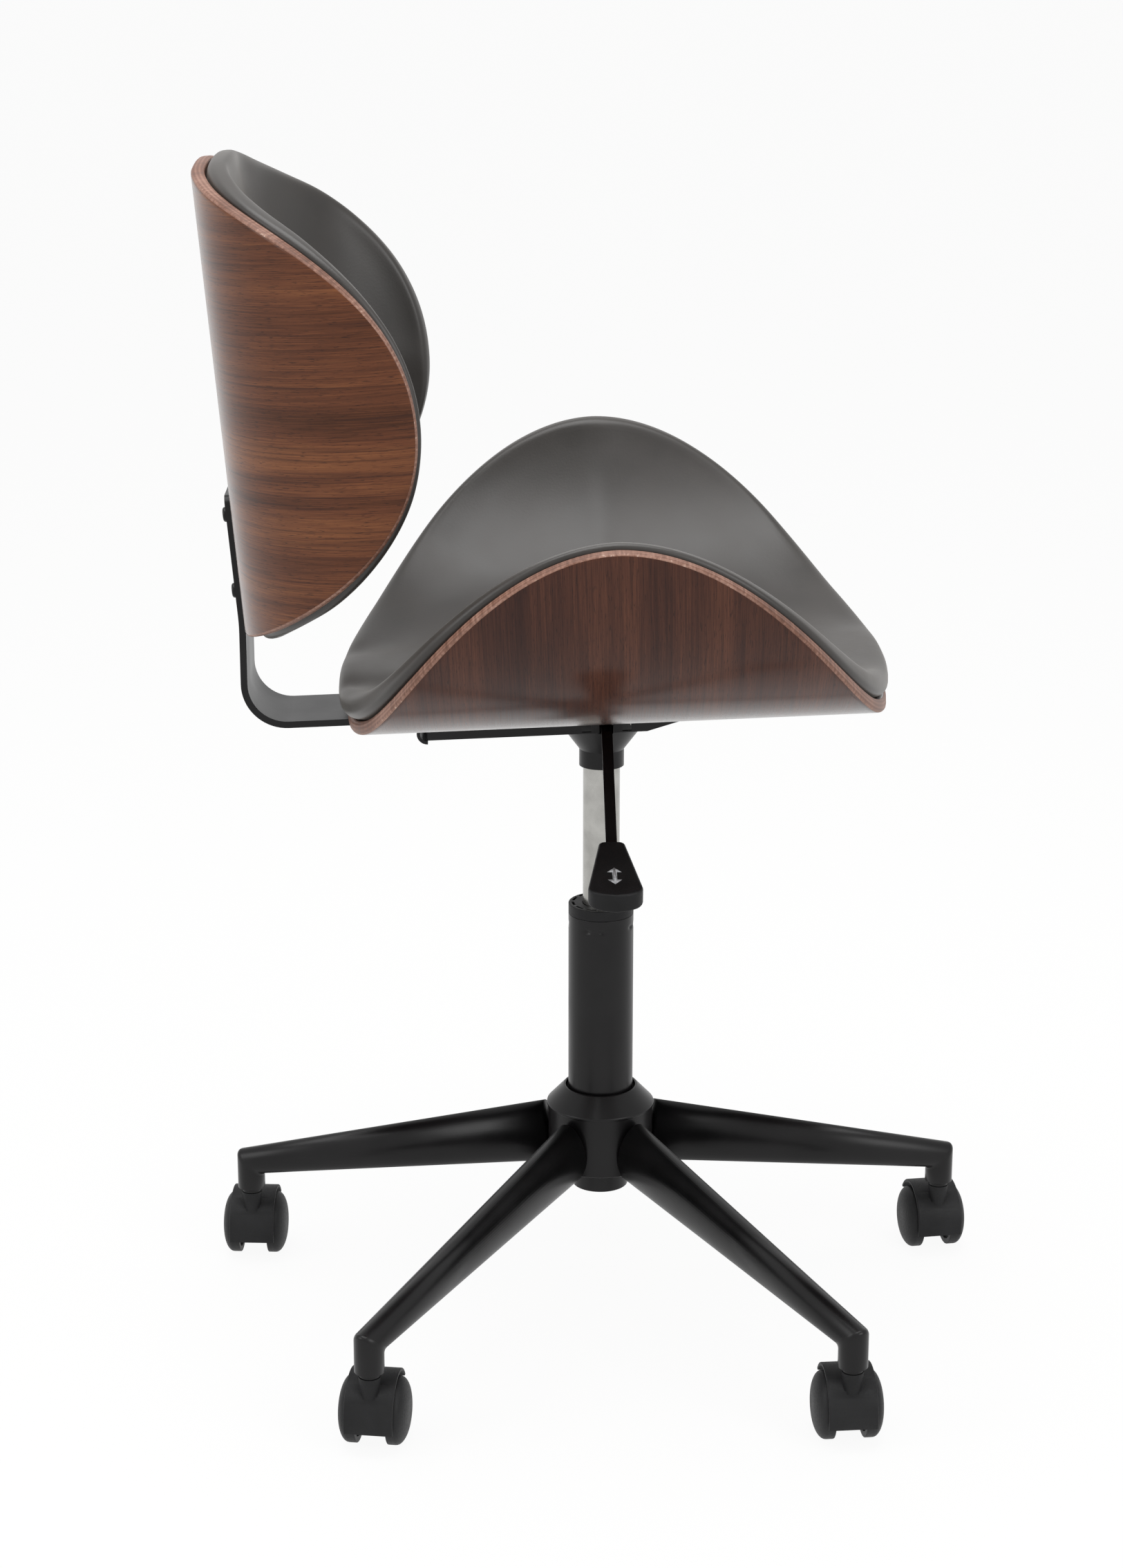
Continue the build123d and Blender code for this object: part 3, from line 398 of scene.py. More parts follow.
def add_piece(bm, name, body, slot, materials, *nodes):
    """Finish a mesh as a smooth piece that rides on a body and stands for the nodes."""
    piece = add_mesh(bm, name)
    piece.data.shade_smooth()
    for material in materials:
        piece.data.materials.append(material)
    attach(piece, body)
    if nodes:
        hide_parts(*nodes)
    return piece


def keep_flats(piece):
    """Weight the normals by face area, so that flats stay flat beside rounded edges."""
    piece.modifiers.new("flat_faces", "WEIGHTED_NORMAL").keep_sharp = True


def only(kind, geom):
    """The items of one kind in an operator's result."""
    return [item for item in geom if isinstance(item, kind)]


def draw_chain(bm, points, closed=False):
    """Vertices at the points, joined by edges in their order."""
    chain = [bm.verts.new(point) for point in points]
    for pair in zip(chain, chain[1:] + chain[:1] if closed else chain[1:]):
        bm.edges.new(pair)
    return chain


def round_off(bm, geom, radius, affect="EDGES", segments=4, clamp=False):
    """Round edges, or the corners of an outline, by a bevel."""
    bmesh.ops.bevel(
        bm, geom=geom, offset=radius, affect=affect, segments=segments, profile=0.5, material=-1,
        clamp_overlap=clamp,
    )


def spin_round(bm, steps):
    """Spin everything a full turn round Z, and close its seam and poles."""
    bmesh.ops.spin(
        bm, geom=bm.verts[:] + bm.edges[:], cent=(0, 0, 0), axis=(0, 0, 1), angle=2 * pi,
        steps=steps, use_merge=True,
    )
    bmesh.ops.remove_doubles(bm, verts=bm.verts, dist=MERGE)


# Shells

RIM_SHARE = 2
SHELL_RINGS, SHELL_STEPS = 26, 288
VENEER_SHARE = 0.03


def bend(sheet, girth, reach, lift):
    """Point of a bent sheet at a distance round the bend, along it, and off its hollow face."""
    run = abs(girth) - sheet.flat_half
    bend_length = sheet.bend_radius * sheet.bend_angle
    bent = min(max(run, 0), bend_length) / sheet.bend_radius
    slope = bent + max(run - bend_length, 0) / sheet.wing_radius
    across = min(abs(girth), sheet.flat_half) + sheet.bend_radius * sin(bent)
    across += sheet.wing_radius * (sin(slope) - sin(bent)) - lift * sin(slope)
    depth = sheet.bend_radius * (1 - cos(bent)) + sheet.wing_radius * (cos(bent) - cos(slope))
    depth += lift * cos(slope)
    foot = sheet.origin + sheet.across * copysign(across, girth)
    return foot + sheet.into * depth + sheet.along * reach


def unbend(sheet, point):
    """Girth, reach and lift of a point: the inverse of bend."""
    offset = point - sheet.origin
    side, depth, reach = (offset.dot(axis) for axis in (sheet.across, sheet.into, sheet.along))
    across = abs(side) - sheet.flat_half
    if across <= 0:
        return side, reach, depth
    girth, radius, start = sheet.flat_half, sheet.bend_radius, 0.0
    centre = Vector((0, sheet.bend_radius))
    if atan2(across, centre.y - depth) > sheet.bend_angle:
        girth += sheet.bend_radius * sheet.bend_angle
        start, radius = sheet.bend_angle, sheet.wing_radius
        centre += Vector((sin(start), -cos(start))) * (sheet.bend_radius - radius)
    turn = atan2(across - centre.x, centre.y - depth)
    girth += radius * (turn - start)
    return copysign(girth, side), reach, radius - hypot(across - centre.x, centre.y - depth)


def spun_disc(profile, steps):
    """Spin a chain of (share, lift) points round Z into a closed disc."""
    bm = bmesh.new()
    draw_chain(bm, [(share, 0, lift) for share, lift in profile])
    spin_round(bm, steps)
    return bm


def lay_on_sheet(bm, sheet, outline=(0.0, 0.0, 0.0), zones=(PLY, PLY), lift_of=None):
    """Stretch a disc to the sheet's oval and bend it.

    Share 2 is the rim, and share 1 is a rim zone inside it. outline grows the wings, the front
    and the rear. zones are the rim zones at the wings and at the ends. lift_of(lift, endward,
    oval) sets the lift: endward goes from 0 at a wing to 1 at an end, and oval from 0 in the
    middle to about 1 at the rim.
    """
    wing_growth, front_growth, rear_growth = outline
    for vert in bm.verts:
        share, angle = hypot(vert.co.x, vert.co.y), atan2(vert.co.y, vert.co.x)
        endward = cos(angle) ** 2
        end = sheet.front + front_growth if cos(angle) > 0 else sheet.rear + rear_growth
        reach = copysign(end * abs(cos(angle)) ** (2 / sheet.end_power), cos(angle))
        wing = sheet.half_girth + wing_growth
        girth = copysign(wing * abs(sin(angle)) ** (2 / sheet.wing_power), sin(angle))
        zone = (zones[0] + (zones[1] - zones[0]) * endward) / hypot(reach, girth)
        scale = share * (1 - zone) if share < 1 else 1 - (RIM_SHARE - share) * zone
        oval = (girth * share / wing) ** 2 + (reach * share / end) ** 2
        lift = lift_of(vert.co.z, endward, oval) if lift_of else vert.co.z
        vert.co = bend(sheet, girth * scale, reach * scale, lift)
    bmesh.ops.recalc_face_normals(bm, faces=bm.faces)


def ply_shell(name, sheet, veneer, node):
    """Bent-ply shell with a rounded rim, with the sheet's own flat map for its grain."""
    hollow = [(k / SHELL_RINGS, 0) for k in range(SHELL_RINGS + 1)] + [(1.5, 0), (RIM_SHARE, 0)]
    rim = [(RIM_SHARE, -PLY / 3), (RIM_SHARE, -2 * PLY / 3)]
    under = [(share, -PLY) for share, _ in reversed(hollow)]
    bm = spun_disc(hollow + rim + under, SHELL_STEPS)
    near = PLY / 100
    arrises = [
        edge for edge in bm.edges
        if all(
            hypot(v.co.x, v.co.y) > RIM_SHARE - 0.01 and min(-v.co.z, PLY + v.co.z) < near
            for v in edge.verts
        ) and abs(edge.verts[0].co.z - edge.verts[1].co.z) < near
    ]
    lay_on_sheet(bm, sheet)
    round_off(bm, arrises, RIM_ROUND)
    flat_map = bm.loops.layers.uv.new("sheet")
    depth_layer = bm.verts.layers.float.new("ply_depth")
    for vert in bm.verts:
        vert[depth_layer] = -unbend(sheet, vert.co)[2] / PLY
    for face in bm.faces:
        depth = sum(vert[depth_layer] for vert in face.verts) / len(face.verts)
        face.material_index = int(VENEER_SHARE < depth < 1 - VENEER_SHARE)
        for loop in face.loops:
            loop[flat_map].uv = unbend(sheet, loop.vert.co)[:2]
    add_piece(bm, name, "seat", "walnut_ply", (veneer, edge_wood), node)


ply_shell("seat_ply_shell", SEAT_SHEET, seat_veneer, "seat_shell")
ply_shell("back_ply_shell", BACK_SHEET, back_veneer, "back_shell")

# Cushions

PAD_RINGS, PAD_STEPS, ROLL_STEPS = 32, 300, 16
ROLL_POWER = 2 / 3
TOP_LIFT = 2
LAST_FRAME = 20
MOST_SWELL = 3 * MM
EVENING_ROUNDS = SMOOTHING_ROUNDS = 12
CROWN_SHARE = 0.85

# A dent's distance round the bend and along the sheet, on both sides, and its shape
Dent = namedtuple("Dent", "girth reach heading length width depth")
SEAT_DENTS = (
    Dent(95 * MM, -150 * MM, radians(35), 60 * MM, 16 * MM, 3.5 * MM),
    Dent(60 * MM, -172 * MM, radians(60), 30 * MM, 14 * MM, 2.5 * MM),
    Dent(110 * MM, 150 * MM, radians(-40), 55 * MM, 18 * MM, 2.5 * MM),
)
BACK_DENTS = (
    Dent(85 * MM, 128 * MM, radians(-45), 60 * MM, 18 * MM, 2.5 * MM),
    Dent(85 * MM, -125 * MM, radians(45), 55 * MM, 18 * MM, 2.5 * MM),
)


def slack_pad(name, sheet, crown, wing_edge, end_edge, outline):
    """Unstuffed pad on a sheet: a crowned top and a squarish roll round its edge."""
    base = [(k / PAD_RINGS, 0) for k in range(PAD_RINGS)]
    turns = [radians(-90 + 180 * k / ROLL_STEPS) for k in range(ROLL_STEPS + 1)]
    # Lift 0 to 1 is the edge's height
    roll = [
        (1 + abs(cos(t)) ** ROLL_POWER, 0.5 + 0.5 * copysign(abs(sin(t)) ** ROLL_POWER, t))
        for t in turns
    ]
    top = [(share, TOP_LIFT) for share, _ in reversed(base)]
    bm = spun_disc(base + roll + top, PAD_STEPS)

    def lift_of(lift, endward, oval):
        edge = wing_edge + (end_edge - wing_edge) * endward ** 2
        rise = max(1 - oval, 0) if lift > 1.5 else 0
        return PAD_GAP + edge * min(lift, 1) + (crown - edge) * rise

    lay_on_sheet(bm, sheet, outline, (0.5 * wing_edge, 0.7 * end_edge), lift_of)
    return add_mesh(bm, name + "_slack")


def stuff(pad, glued_points):
    """Swell a pad by pressure in a cloth simulation, with some of its points held."""
    glued = pad.vertex_groups.new(name="glued")
    glued.add(glued_points, 1.0, "REPLACE")
    settings = pad.modifiers.new("stuffing", "CLOTH").settings
    settings.quality = 6
    settings.vertex_group_mass = "glued"
    settings.use_pressure = True
    settings.uniform_pressure_force = 4.0
    settings.effector_weights.gravity = 0.0
    settings.tension_stiffness = settings.compression_stiffness = 12.0
    settings.bending_stiffness = 2.0
    for step in range(1, LAST_FRAME + 1):
        bpy.context.scene.frame_set(step)


def dented(dents, girth, reach, lift, edge):
    """Lift of a point on a pad after the dents, which fade out down the pad's edge."""
    for dent in dents:
        off_girth, off_reach = abs(girth) - dent.girth, reach - dent.reach
        run = off_girth * cos(dent.heading) + off_reach * sin(dent.heading)
        side = off_reach * cos(dent.heading) - off_girth * sin(dent.heading)
        sunk = exp(-(run / dent.length) ** 2 - (side / dent.width) ** 2)
        lift -= dent.depth * (sunk * min(1.0, max(lift, 0) / edge))
    return max(lift, PAD_GAP)


def cushion(name, sheet, node, crown, wing_edge, end_edge, outline, dents):
    """Crowned pad on a sheet: a thin folded edge on the wings, plump ends, tightly stuffed."""
    pad = slack_pad(name, sheet, crown, wing_edge, end_edge, outline)
    start = [vert.co.copy() for vert in pad.data.vertices]
    # The underside and the foot of the edge are glued to the board
    lifts = [unbend(sheet, place)[2] for place in start]
    stuff(pad, [k for k, lift in enumerate(lifts) if lift < wing_edge / 3])
    view = bpy.context.evaluated_depsgraph_get()
    stuffed = bpy.data.meshes.new_from_object(pad.evaluated_get(view))
    bpy.data.objects.remove(pad)
    bpy.context.scene.frame_set(1)
    bm = bmesh.new()
    bm.from_mesh(stuffed)
    bpy.data.meshes.remove(stuffed)
    # The swelling is capped and evened out, so that no fine folds are left
    moves = [vert.co - place for vert, place in zip(bm.verts, start)]
    moves = [
        move * min(1.0, MOST_SWELL / max(move.length, MOST_SWELL / 1000)) for move in moves
    ]
    near = [[edge.other_vert(vert).index for edge in vert.link_edges] for vert in bm.verts]
    for _ in range(EVENING_ROUNDS):
        moves = [
            (move + sum((moves[n] for n in around), Vector())) / (len(around) + 1)
            for move, around in zip(moves, near)
        ]
    for vert, place, move in zip(bm.verts, start, moves):
        girth, reach, lift = unbend(sheet, place + move)
        vert.co = bend(sheet, girth, reach, dented(dents, girth, reach, lift, wing_edge))
    crowned = []
    for vert in bm.verts:
        girth, reach, lift = unbend(sheet, vert.co)
        oval = (girth / sheet.half_girth) ** 2 + (reach / sheet.front) ** 2
        if lift > wing_edge / 2 and oval < CROWN_SHARE:
            crowned.append(vert)
    for verts in [bm.verts[:]] + [crowned] * SMOOTHING_ROUNDS:
        bmesh.ops.smooth_vert(
            bm, verts=verts, factor=0.5, use_axis_x=True, use_axis_y=True, use_axis_z=True,
        )
    piece = add_piece(bm, name, "seat", "cushion_cover", (cover,), node)


cushion(
    "seat_cushion", SEAT_SHEET, "seat_pad", crown=27 * MM, wing_edge=16 * MM, end_edge=24 * MM,
    outline=(4 * MM, 2 * MM, 6 * MM), dents=SEAT_DENTS,
)
cushion(
    "back_cushion", BACK_SHEET, "back_pad", crown=24 * MM, wing_edge=15 * MM, end_edge=20 * MM,
    outline=(4 * MM, 3 * MM, 4 * MM), dents=BACK_DENTS,
)

# Turned pieces

CAP_STEPS = 96


def turned(profile, rounding, steps=96):
    """Spin a profile of (radius, height) points round Z, with its corners rounded first."""
    bm = bmesh.new()
    solid = profile[0][0] == 0
    chain = draw_chain(bm, [(radius, 0, height) for radius, height in profile], closed=not solid)
    corners = chain[1:-1] if solid else chain
    round_off(bm, corners, rounding, affect="VERTICES", segments=3, clamp=True)
    spin_round(bm, steps)
    bmesh.ops.recalc_face_normals(bm, faces=bm.faces)
    return bm


crimp_rows = [(COLUMN_RADIUS, CRIMP_HEIGHT + k * MM) for k in range(-5, 6)]
column = turned([
    (TAPER_RADIUS, TAPER_BOTTOM), (COLUMN_RADIUS, TAPER_TOP), *crimp_rows,
    (COLUMN_RADIUS, COLUMN_TOP), (COLUMN_BORE, COLUMN_TOP), (COLUMN_BORE, TAPER_TOP),
    (TAPER_BORE, TAPER_BOTTOM),
], 0.4 * MM, 180)
# Punched crimps under the cap, where the bush is locked in the tube
for vert in column.verts:
    if hypot(vert.co.x, vert.co.y) > COLUMN_RADIUS - MM:
        for crimp_angle in CRIMP_ANGLES:
            off = atan2(vert.co.y, vert.co.x) - crimp_angle
            off = atan2(sin(off), cos(off)) * COLUMN_RADIUS
            rise = vert.co.z - CRIMP_HEIGHT
            sunk = exp(-(off / CRIMP_WIDTH) ** 2 - (rise / CRIMP_RISE) ** 2)
            vert.co -= Vector((vert.co.x, vert.co.y, 0)).normalized() * CRIMP_DEPTH * sunk
keep_flats(add_piece(column, "column_tube", "base", "black_steel", (black_coat,), "outer_column"))

bush = turned((
    (BUSH_BORE, BUSH_BOTTOM), (BUSH_RADIUS, BUSH_BOTTOM), (BUSH_RADIUS, COLUMN_TOP),
    (COLUMN_RADIUS, COLUMN_TOP), (COLUMN_RADIUS, BUSH_TOP), (SLOT_OUTER, BUSH_TOP),
    (SLOT_INNER, BUSH_TOP), (BUSH_BORE, BUSH_TOP),
), 0.6 * MM, CAP_STEPS)
# Slots in the cap's top, between its rim and its collar: five steps open of every eight
slot_middle = (SLOT_OUTER + SLOT_INNER) / 2
slots = []
for face in bush.faces:
    middle = face.calc_center_median()
    sector = int((atan2(middle.y, middle.x) + pi) / (2 * pi) * CAP_STEPS)
    in_ring = abs(hypot(middle.x, middle.y) - slot_middle) < MM
    if in_ring and middle.z > BUSH_TOP - 0.01 * MM and sector % 8 < 5:
        slots.append(face)
slot_floor = bmesh.ops.extrude_face_region(bush, geom=slots)["geom"]
bmesh.ops.translate(bush, verts=only(VERT, slot_floor), vec=(0, 0, -SLOT_DEPTH))
bmesh.ops.delete(bush, geom=slots, context="FACES_ONLY")
keep_flats(add_piece(bush, "column_cap_bush", "base", "black_plastic", (nylon,), "column_bush"))

cylinder = turned((
    (ROD_HOLE, CYLINDER_BOTTOM), (CYLINDER_RADIUS, CYLINDER_BOTTOM),
    (CYLINDER_RADIUS, NOSE_BOTTOM), (NOSE_RADIUS, CYLINDER_TOP), (BUTTON_HOLE, CYLINDER_TOP),
    (BUTTON_HOLE, NOSE_CEILING), (NOSE_BORE, NOSE_CEILING), (CYLINDER_BORE, NOSE_BOTTOM),
    (CYLINDER_BORE, CYLINDER_FLOOR), (ROD_HOLE, CYLINDER_FLOOR),
), 0.4 * MM)
keep_flats(add_piece(
    cylinder, "lift_cylinder", "seat", "plated_steel", (bright_steel,), "gas_cylinder",
))

# Outside up to the bead, over the cone, and down the inside
shroud = turned((
    (SHROUD_RADIUS, 126 * MM), (SHROUD_RADIUS, 173 * MM), (41.7 * MM, 173 * MM),
    (41.7 * MM, 175 * MM), (28.5 * MM, 189 * MM), (27 * MM, 189 * MM), (27 * MM, 186.5 * MM),
    (SHROUD_BORE, 173 * MM), (SHROUD_BORE, 126 * MM),
), 0.5 * MM)
keep_flats(add_piece(shroud, "hub_shroud", "base", "black_steel", (black_coat,), "base_shroud"))

# Legs


def leg_turn(number):
    """Turn round Z from the first leg to a leg."""
    return Matrix.Rotation(2 * pi * (number - 1) / LEG_COUNT, 4, "Z")


def leg_tube(number):
    """Tapered oval leg that turns down into its caster socket at a rounded mitre."""
    run = CASTER_CIRCLE - SHROUD_RADIUS
    fall = LEG_ROOT_HEIGHT - LEG_TIP_HEIGHT
    slope = Vector((run, 0, -fall)).normalized()
    mitre = (slope + Vector((0, 0, -1))).normalized()
    tip = Vector((CASTER_CIRCLE, 0, LEG_TIP_HEIGHT))
    foot_place = Matrix.Translation((CASTER_CIRCLE, 0, SOCKET_BOTTOM))
    bm = bmesh.new()
    bmesh.ops.create_circle(bm, segments=64, radius=SOCKET_RADIUS, matrix=foot_place)
    upper = bmesh.ops.extrude_edge_only(bm, edges=bm.edges[:])["geom"]
    for vert in only(VERT, upper):
        offset = vert.co - tip
        vert.co.z = LEG_TIP_HEIGHT - (offset.x * mitre.x + offset.y * mitre.y) / mitre.z
    elbow = only(EDGE, upper)
    root = bmesh.ops.extrude_edge_only(bm, edges=elbow)["geom"]
    up = slope.cross(Vector((0, 1, 0))).normalized() * -1
    centre = tip - slope * (run / slope.x)
    widening, heightening = (
        half / SOCKET_RADIUS for half in (LEG_ROOT_HALF_WIDTH, LEG_ROOT_HALF_HEIGHT)
    )
    for vert in only(VERT, root):
        offset = vert.co - tip
        offset -= slope * offset.dot(slope)
        oval = Vector((0, offset.y * widening, 0)) + up * (offset.dot(up) * heightening)
        vert.co = centre + oval
    round_off(bm, elbow, 2.5 * MM)
    bmesh.ops.holes_fill(bm, edges=[edge for edge in bm.edges if edge.is_boundary])
    bmesh.ops.recalc_face_normals(bm, faces=bm.faces)
    # The socket's mouth
    foot = min(bm.faces, key=lambda face: face.calc_center_median().z)
    bmesh.ops.inset_individual(bm, faces=[foot], thickness=2 * MM)
    bmesh.ops.translate(bm, verts=foot.verts, vec=(0, 0, 8 * MM))
    bmesh.ops.transform(bm, matrix=leg_turn(number), verts=bm.verts)
    nodes = (f"leg_{number}", f"leg_socket_{number}")
    keep_flats(add_piece(bm, f"leg_tube_{number}", "base", "black_steel", (black_coat,), *nodes))


for leg_number in range(1, LEG_COUNT + 1):
    leg_tube(leg_number)

# Casters


def caster_place(number):
    """Matrix from a caster's own frame, with the stem on Z, to its place under a leg."""
    stem = leg_turn(number) @ Vector((CASTER_CIRCLE, 0, 0))
    own_turn = Matrix.Rotation(radians(CASTER_TURNS[number - 1]), 4, "Z")
    return Matrix.Translation(stem) @ own_turn


def wheel(number, side, side_name):
    """Domed wheel with a tread, a recessed inner face and a blind bore."""
    # In millimetres: radii, and then distances from the caster's middle
    tread, dome_flat, recess_rim, hub, bore = 25, 6, 20.5, 9, 4.25
    inner, recess, shoulder, bore_end, outer = 11.25, 14.25, 17.25, 20.5, 25.75
    dome = [
        (dome_flat + (tread - dome_flat) * cos(turn), shoulder + (outer - shoulder) * sin(turn))
        for turn in map(radians, range(90, -1, -10))
    ]
    profile = [
        (0, outer), *dome, (tread, inner), (recess_rim, inner), (recess_rim, recess),
        (hub, recess), (hub, inner), (bore, inner), (bore, bore_end), (0, bore_end),
    ]
    bm = turned([(radius * MM, height * MM) for radius, height in profile], 0.6 * MM, steps=64)
    lay_flat = Matrix.Rotation(radians(-90 * side), 4, "X")
    axle = Matrix.Translation((CASTER_TRAIL, 0, AXLE_HEIGHT))
    bmesh.ops.transform(bm, matrix=caster_place(number) @ axle @ lay_flat, verts=bm.verts)
    name = f"wheel_{number}_{side_name}"
    keep_flats(add_piece(bm, f"domed_{name}", name, "caster_plastic", (wheel_nylon,), name))


def open_hood(number):
    """Hood from its solid, cut off level so that both wheels show below it."""
    name = f"caster_hood_{number}"
    bm = bmesh.new()
    bm.from_mesh(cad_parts[name].data)
    bmesh.ops.remove_doubles(bm, verts=bm.verts, dist=MERGE)
    cut = bmesh.ops.bisect_plane(
        bm, geom=bm.verts[:] + bm.edges[:] + bm.faces[:], dist=MERGE,
        plane_co=(0, 0, HOOD_CUT_HEIGHT), plane_no=(0, 0, -1), clear_outer=True,
    )["geom_cut"]
    bmesh.ops.triangle_fill(bm, edges=only(EDGE, cut), use_beauty=True)
    bmesh.ops.recalc_face_normals(bm, faces=bm.faces)
    body = f"caster_{number}"
    hood = add_piece(bm, f"open_{name}", body, "caster_plastic", (hood_nylon,), name)
    hood.data.set_sharp_from_angle(angle=radians(35))


for caster_number in range(1, LEG_COUNT + 1):
    wheel(caster_number, -1, "left")
    wheel(caster_number, 1, "right")
    open_hood(caster_number)

# Lever paddle

# In millimetres, along the paddle and across it. The wide end is bowed to the full length.
PADDLE_OUTLINE = ((0, -9), (80, -20), (86, -9), (88, 0), (86, 9), (80, 20), (0, 9))
ROOT_CORNERS, END_CORNERS = (0, 6), (1, 5)
ARROW_OUTLINE = (
    (44, 0), (51, -5), (51, -1.6), (63, -1.6), (63, -5),
    (70, 0), (63, 5), (63, 1.6), (51, 1.6), (51, 5),
)


def place_paddle(bm):
    """Move a mesh from the paddle's own frame, along X with its top up, to the lever's end."""
    along = Vector((-PADDLE_LENGTH, 0, -PADDLE_DROP)).normalized()
    side = Vector((0, -1, 0))
    axes = Matrix((along, side, along.cross(side))).transposed().to_4x4()
    bmesh.ops.transform(bm, matrix=Matrix.Translation(PADDLE_ROOT) @ axes, verts=bm.verts)


def flat_shape(outline, *roundings):
    """Outline in millimetres as one face at the paddle's top, with some corners rounded."""
    bm = bmesh.new()
    ring = draw_chain(bm, [(x * MM, y * MM, 0) for x, y in outline], closed=True)
    for radius, corners in roundings:
        round_off(bm, [ring[k] for k in corners], radius, affect="VERTICES", segments=6)
    bmesh.ops.contextual_create(bm, geom=bm.edges[:])
    bmesh.ops.translate(bm, verts=bm.verts, vec=(0, 0, PADDLE_TOP))
    return bm


def raise_face(bm, rise):
    """Extrude a flat shape into a closed body and return the moved vertices."""
    far = bmesh.ops.extrude_face_region(bm, geom=bm.faces[:], use_keep_orig=True)["geom"]
    bmesh.ops.translate(bm, verts=only(VERT, far), vec=(0, 0, rise))
    return only(VERT, far)


paddle = flat_shape(PADDLE_OUTLINE, (4 * MM, ROOT_CORNERS), (7 * MM, END_CORNERS))
# 9 mm thick at the root and 14 mm at the end
for vert in raise_face(paddle, 0):
    vert.co.z -= (9 + 5 * vert.co.x / PADDLE_LENGTH) * MM
bmesh.ops.recalc_face_normals(paddle, faces=paddle.faces)
paddle_rims = [edge for edge in paddle.edges if abs(edge.calc_face_angle(0)) > radians(60)]
round_off(paddle, paddle_rims, 2 * MM)
place_paddle(paddle)
keep_flats(add_piece(paddle, "moulded_paddle", "lever", "black_plastic", (nylon,), "lever_paddle"))

arrow = flat_shape(ARROW_OUTLINE)
raise_face(arrow, INK_THICKNESS)
bmesh.ops.recalc_face_normals(arrow, faces=arrow.faces)
place_paddle(arrow)
add_piece(arrow, "printed_arrow", "lever", "black_plastic", (ink,))

# Screws that hold the cushion's board, in the shell's underside


def screw_head(number, girth, reach):
    """Pan-head screw against the shell's underside."""
    head = turned([
        (0, 2.6 * MM), (3.2 * MM, 2.5 * MM), (5.2 * MM, 1.7 * MM), (6 * MM, 0), (0, 0),
    ], 0.3 * MM, 40)
    foot = bend(SEAT_SHEET, girth, reach, -PLY)
    outward = (bend(SEAT_SHEET, girth, reach, -2 * PLY) - foot).normalized()
    turn = outward.to_track_quat("Z", "Y").to_matrix().to_4x4()
    bmesh.ops.transform(head, matrix=Matrix.Translation(foot) @ turn, verts=head.verts)
    keep_flats(add_piece(head, f"board_screw_{number}", "seat", "black_steel", (black_coat,)))


screw_places = [
    (side * SCREW_GIRTH, reach) for reach in (SCREW_FRONT, SCREW_REAR) for side in (-1, 1)
]
for screw_number, (screw_girth, screw_reach) in enumerate(screw_places, start=1):
    screw_head(screw_number, screw_girth, screw_reach)

# Solids that stay, with their finishes

KEPT = {
    black_coat: [
        "base_core", "back_bracket", "mechanism_plate", "mechanism_socket", "lever_arm",
        "seat_bolts", "back_bolts", "seat_nuts", "back_nuts",
    # The caster stems take the black coat as painted shade: they stand in for the dark gap under
    # each leg socket
    ] + [f"caster_stem_{k}" for k in range(1, LEG_COUNT + 1)],
    nylon: ["stem_sleeves"],
    bright_steel: [
        "piston_rod", "retaining_clip", "thrust_bearing", "release_button", "lever_pin",
    ] + [f"caster_axle_{k}" for k in range(1, LEG_COUNT + 1)],
}
for kept_finish, names in KEPT.items():
    for node_name in names:
        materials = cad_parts[node_name].data.materials
        materials.clear()
        materials.append(kept_finish)

# Floor, light and camera

FLOOR_HALF = 60
FLOOR_WHITE_SHARE = 0.93
WORLD_LIGHT, WORLD_MIRRORED, WORLD_SEEN = 0.45, 0.9, 1.0
WHITE = (1, 1, 1, 1)
LIT_POINT = Vector((0, 0, 0.5))
LENS, SENSOR = 72.49, 36
CAMERA_PLACE = (-2.2967, 0.0845, 1.1101)
CAMERA_FORWARD = Vector((0.9589, -0.0226, -0.2829)).normalized()
CAMERA_RIGHT = Vector((-0.0236, -0.9997, 0)).normalized()


def white_sweep():
    """White sweep: white to the camera and to reflections, with a share of the shadow."""
    finish, tree, shader = new_finish("white_sweep")
    set_inputs(tree, shader, {"Base Color": linear("#f4f4f2"), "Roughness": 0.9})
    rays = add_node(tree, "ShaderNodeLightPath").outputs
    seen = add_node(
        tree, "ShaderNodeMath", (rays["Is Camera Ray"], rays["Is Glossy Ray"]),
        operation="MAXIMUM",
    )
    seen = add_node(
        tree, "ShaderNodeMath", (seen.outputs[0], rays["Is Transmission Ray"]),
        operation="MAXIMUM",
    )
    share = add_node(
        tree, "ShaderNodeMath", (seen.outputs[0], FLOOR_WHITE_SHARE), operation="MULTIPLY",
    )
    glow = add_node(tree, "ShaderNodeEmission", {"Color": WHITE, "Strength": 1.0})
    mixed = add_node(
        tree, "ShaderNodeMixShader", (share.outputs[0], shader.outputs[0], glow.outputs[0]),
    )
    set_inputs(tree, tree.nodes["Material Output"], {"Surface": mixed.outputs[0]})
    return finish


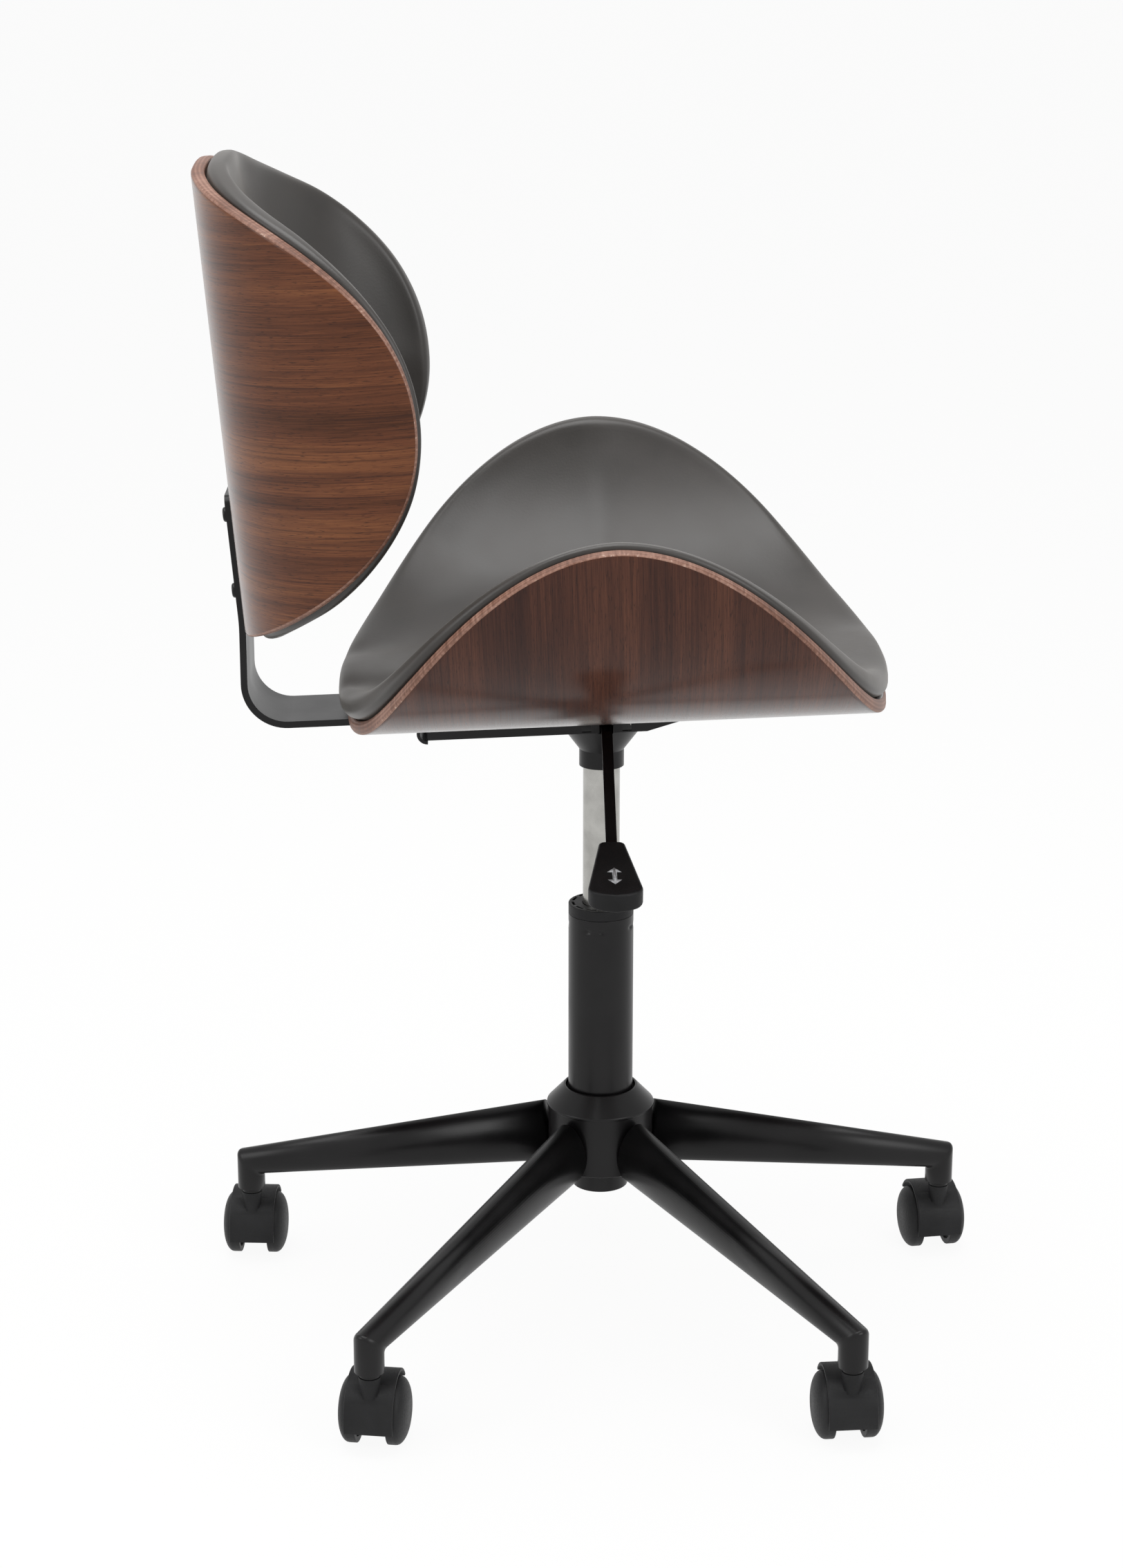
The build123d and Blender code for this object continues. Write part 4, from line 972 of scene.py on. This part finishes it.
floor_shape = bmesh.new()
bmesh.ops.create_grid(floor_shape, x_segments=2, y_segments=2, size=FLOOR_HALF)
floor = add_mesh(floor_shape, "studio_floor")
floor.data.materials.append(white_sweep())

world = bpy.data.worlds.new("studio")
bpy.context.scene.world = world
world.use_nodes = True
sky = world.node_tree
rays = add_node(sky, "ShaderNodeLightPath").outputs
mirrored = add_node(
    sky, "ShaderNodeMath", (rays["Is Glossy Ray"], rays["Is Transmission Ray"]),
    operation="MAXIMUM",
)
lit = add_node(
    sky, "ShaderNodeMapRange", (mirrored.outputs[0], 0.0, 1.0, WORLD_LIGHT, WORLD_MIRRORED),
)
level = add_node(
    sky, "ShaderNodeMapRange", (rays["Is Camera Ray"], 0.0, 1.0, lit.outputs[0], WORLD_SEEN),
)
set_inputs(sky, sky.nodes["Background"], {"Color": WHITE, "Strength": level.outputs[0]})


def soft_box(name, place, size, power):
    """Square area lamp that faces the chair's middle."""
    lamp = bpy.data.lights.new(name, "AREA")
    lamp.shape, lamp.size, lamp.energy = "SQUARE", size, power
    holder = bpy.data.objects.new(name, lamp)
    turn = (LIT_POINT - Vector(place)).to_track_quat("-Z", "Y").to_matrix().to_4x4()
    holder.matrix_world = Matrix.Translation(place) @ turn
    bpy.context.scene.collection.objects.link(holder)


soft_box("overhead_softbox", (-0.2, 0.2, 2.8), size=2.2, power=55)
soft_box("front_softbox", (-2.2, -2.0, 1.8), size=1.6, power=30)
soft_box("rear_softbox", (-1.2, 2.6, 1.6), size=1.4, power=18)

camera_data = bpy.data.cameras.new("photo_camera")
camera_data.lens, camera_data.sensor_width = LENS, SENSOR
camera = bpy.data.objects.new("photo_camera", camera_data)
camera_up = CAMERA_RIGHT.cross(CAMERA_FORWARD)
camera_axes = Matrix((CAMERA_RIGHT, camera_up, -CAMERA_FORWARD)).transposed().to_4x4()
camera.matrix_world = Matrix.Translation(CAMERA_PLACE) @ camera_axes
bpy.context.scene.collection.objects.link(camera)
bpy.context.scene.camera = camera
bpy.context.scene.view_settings.view_transform = "Standard"
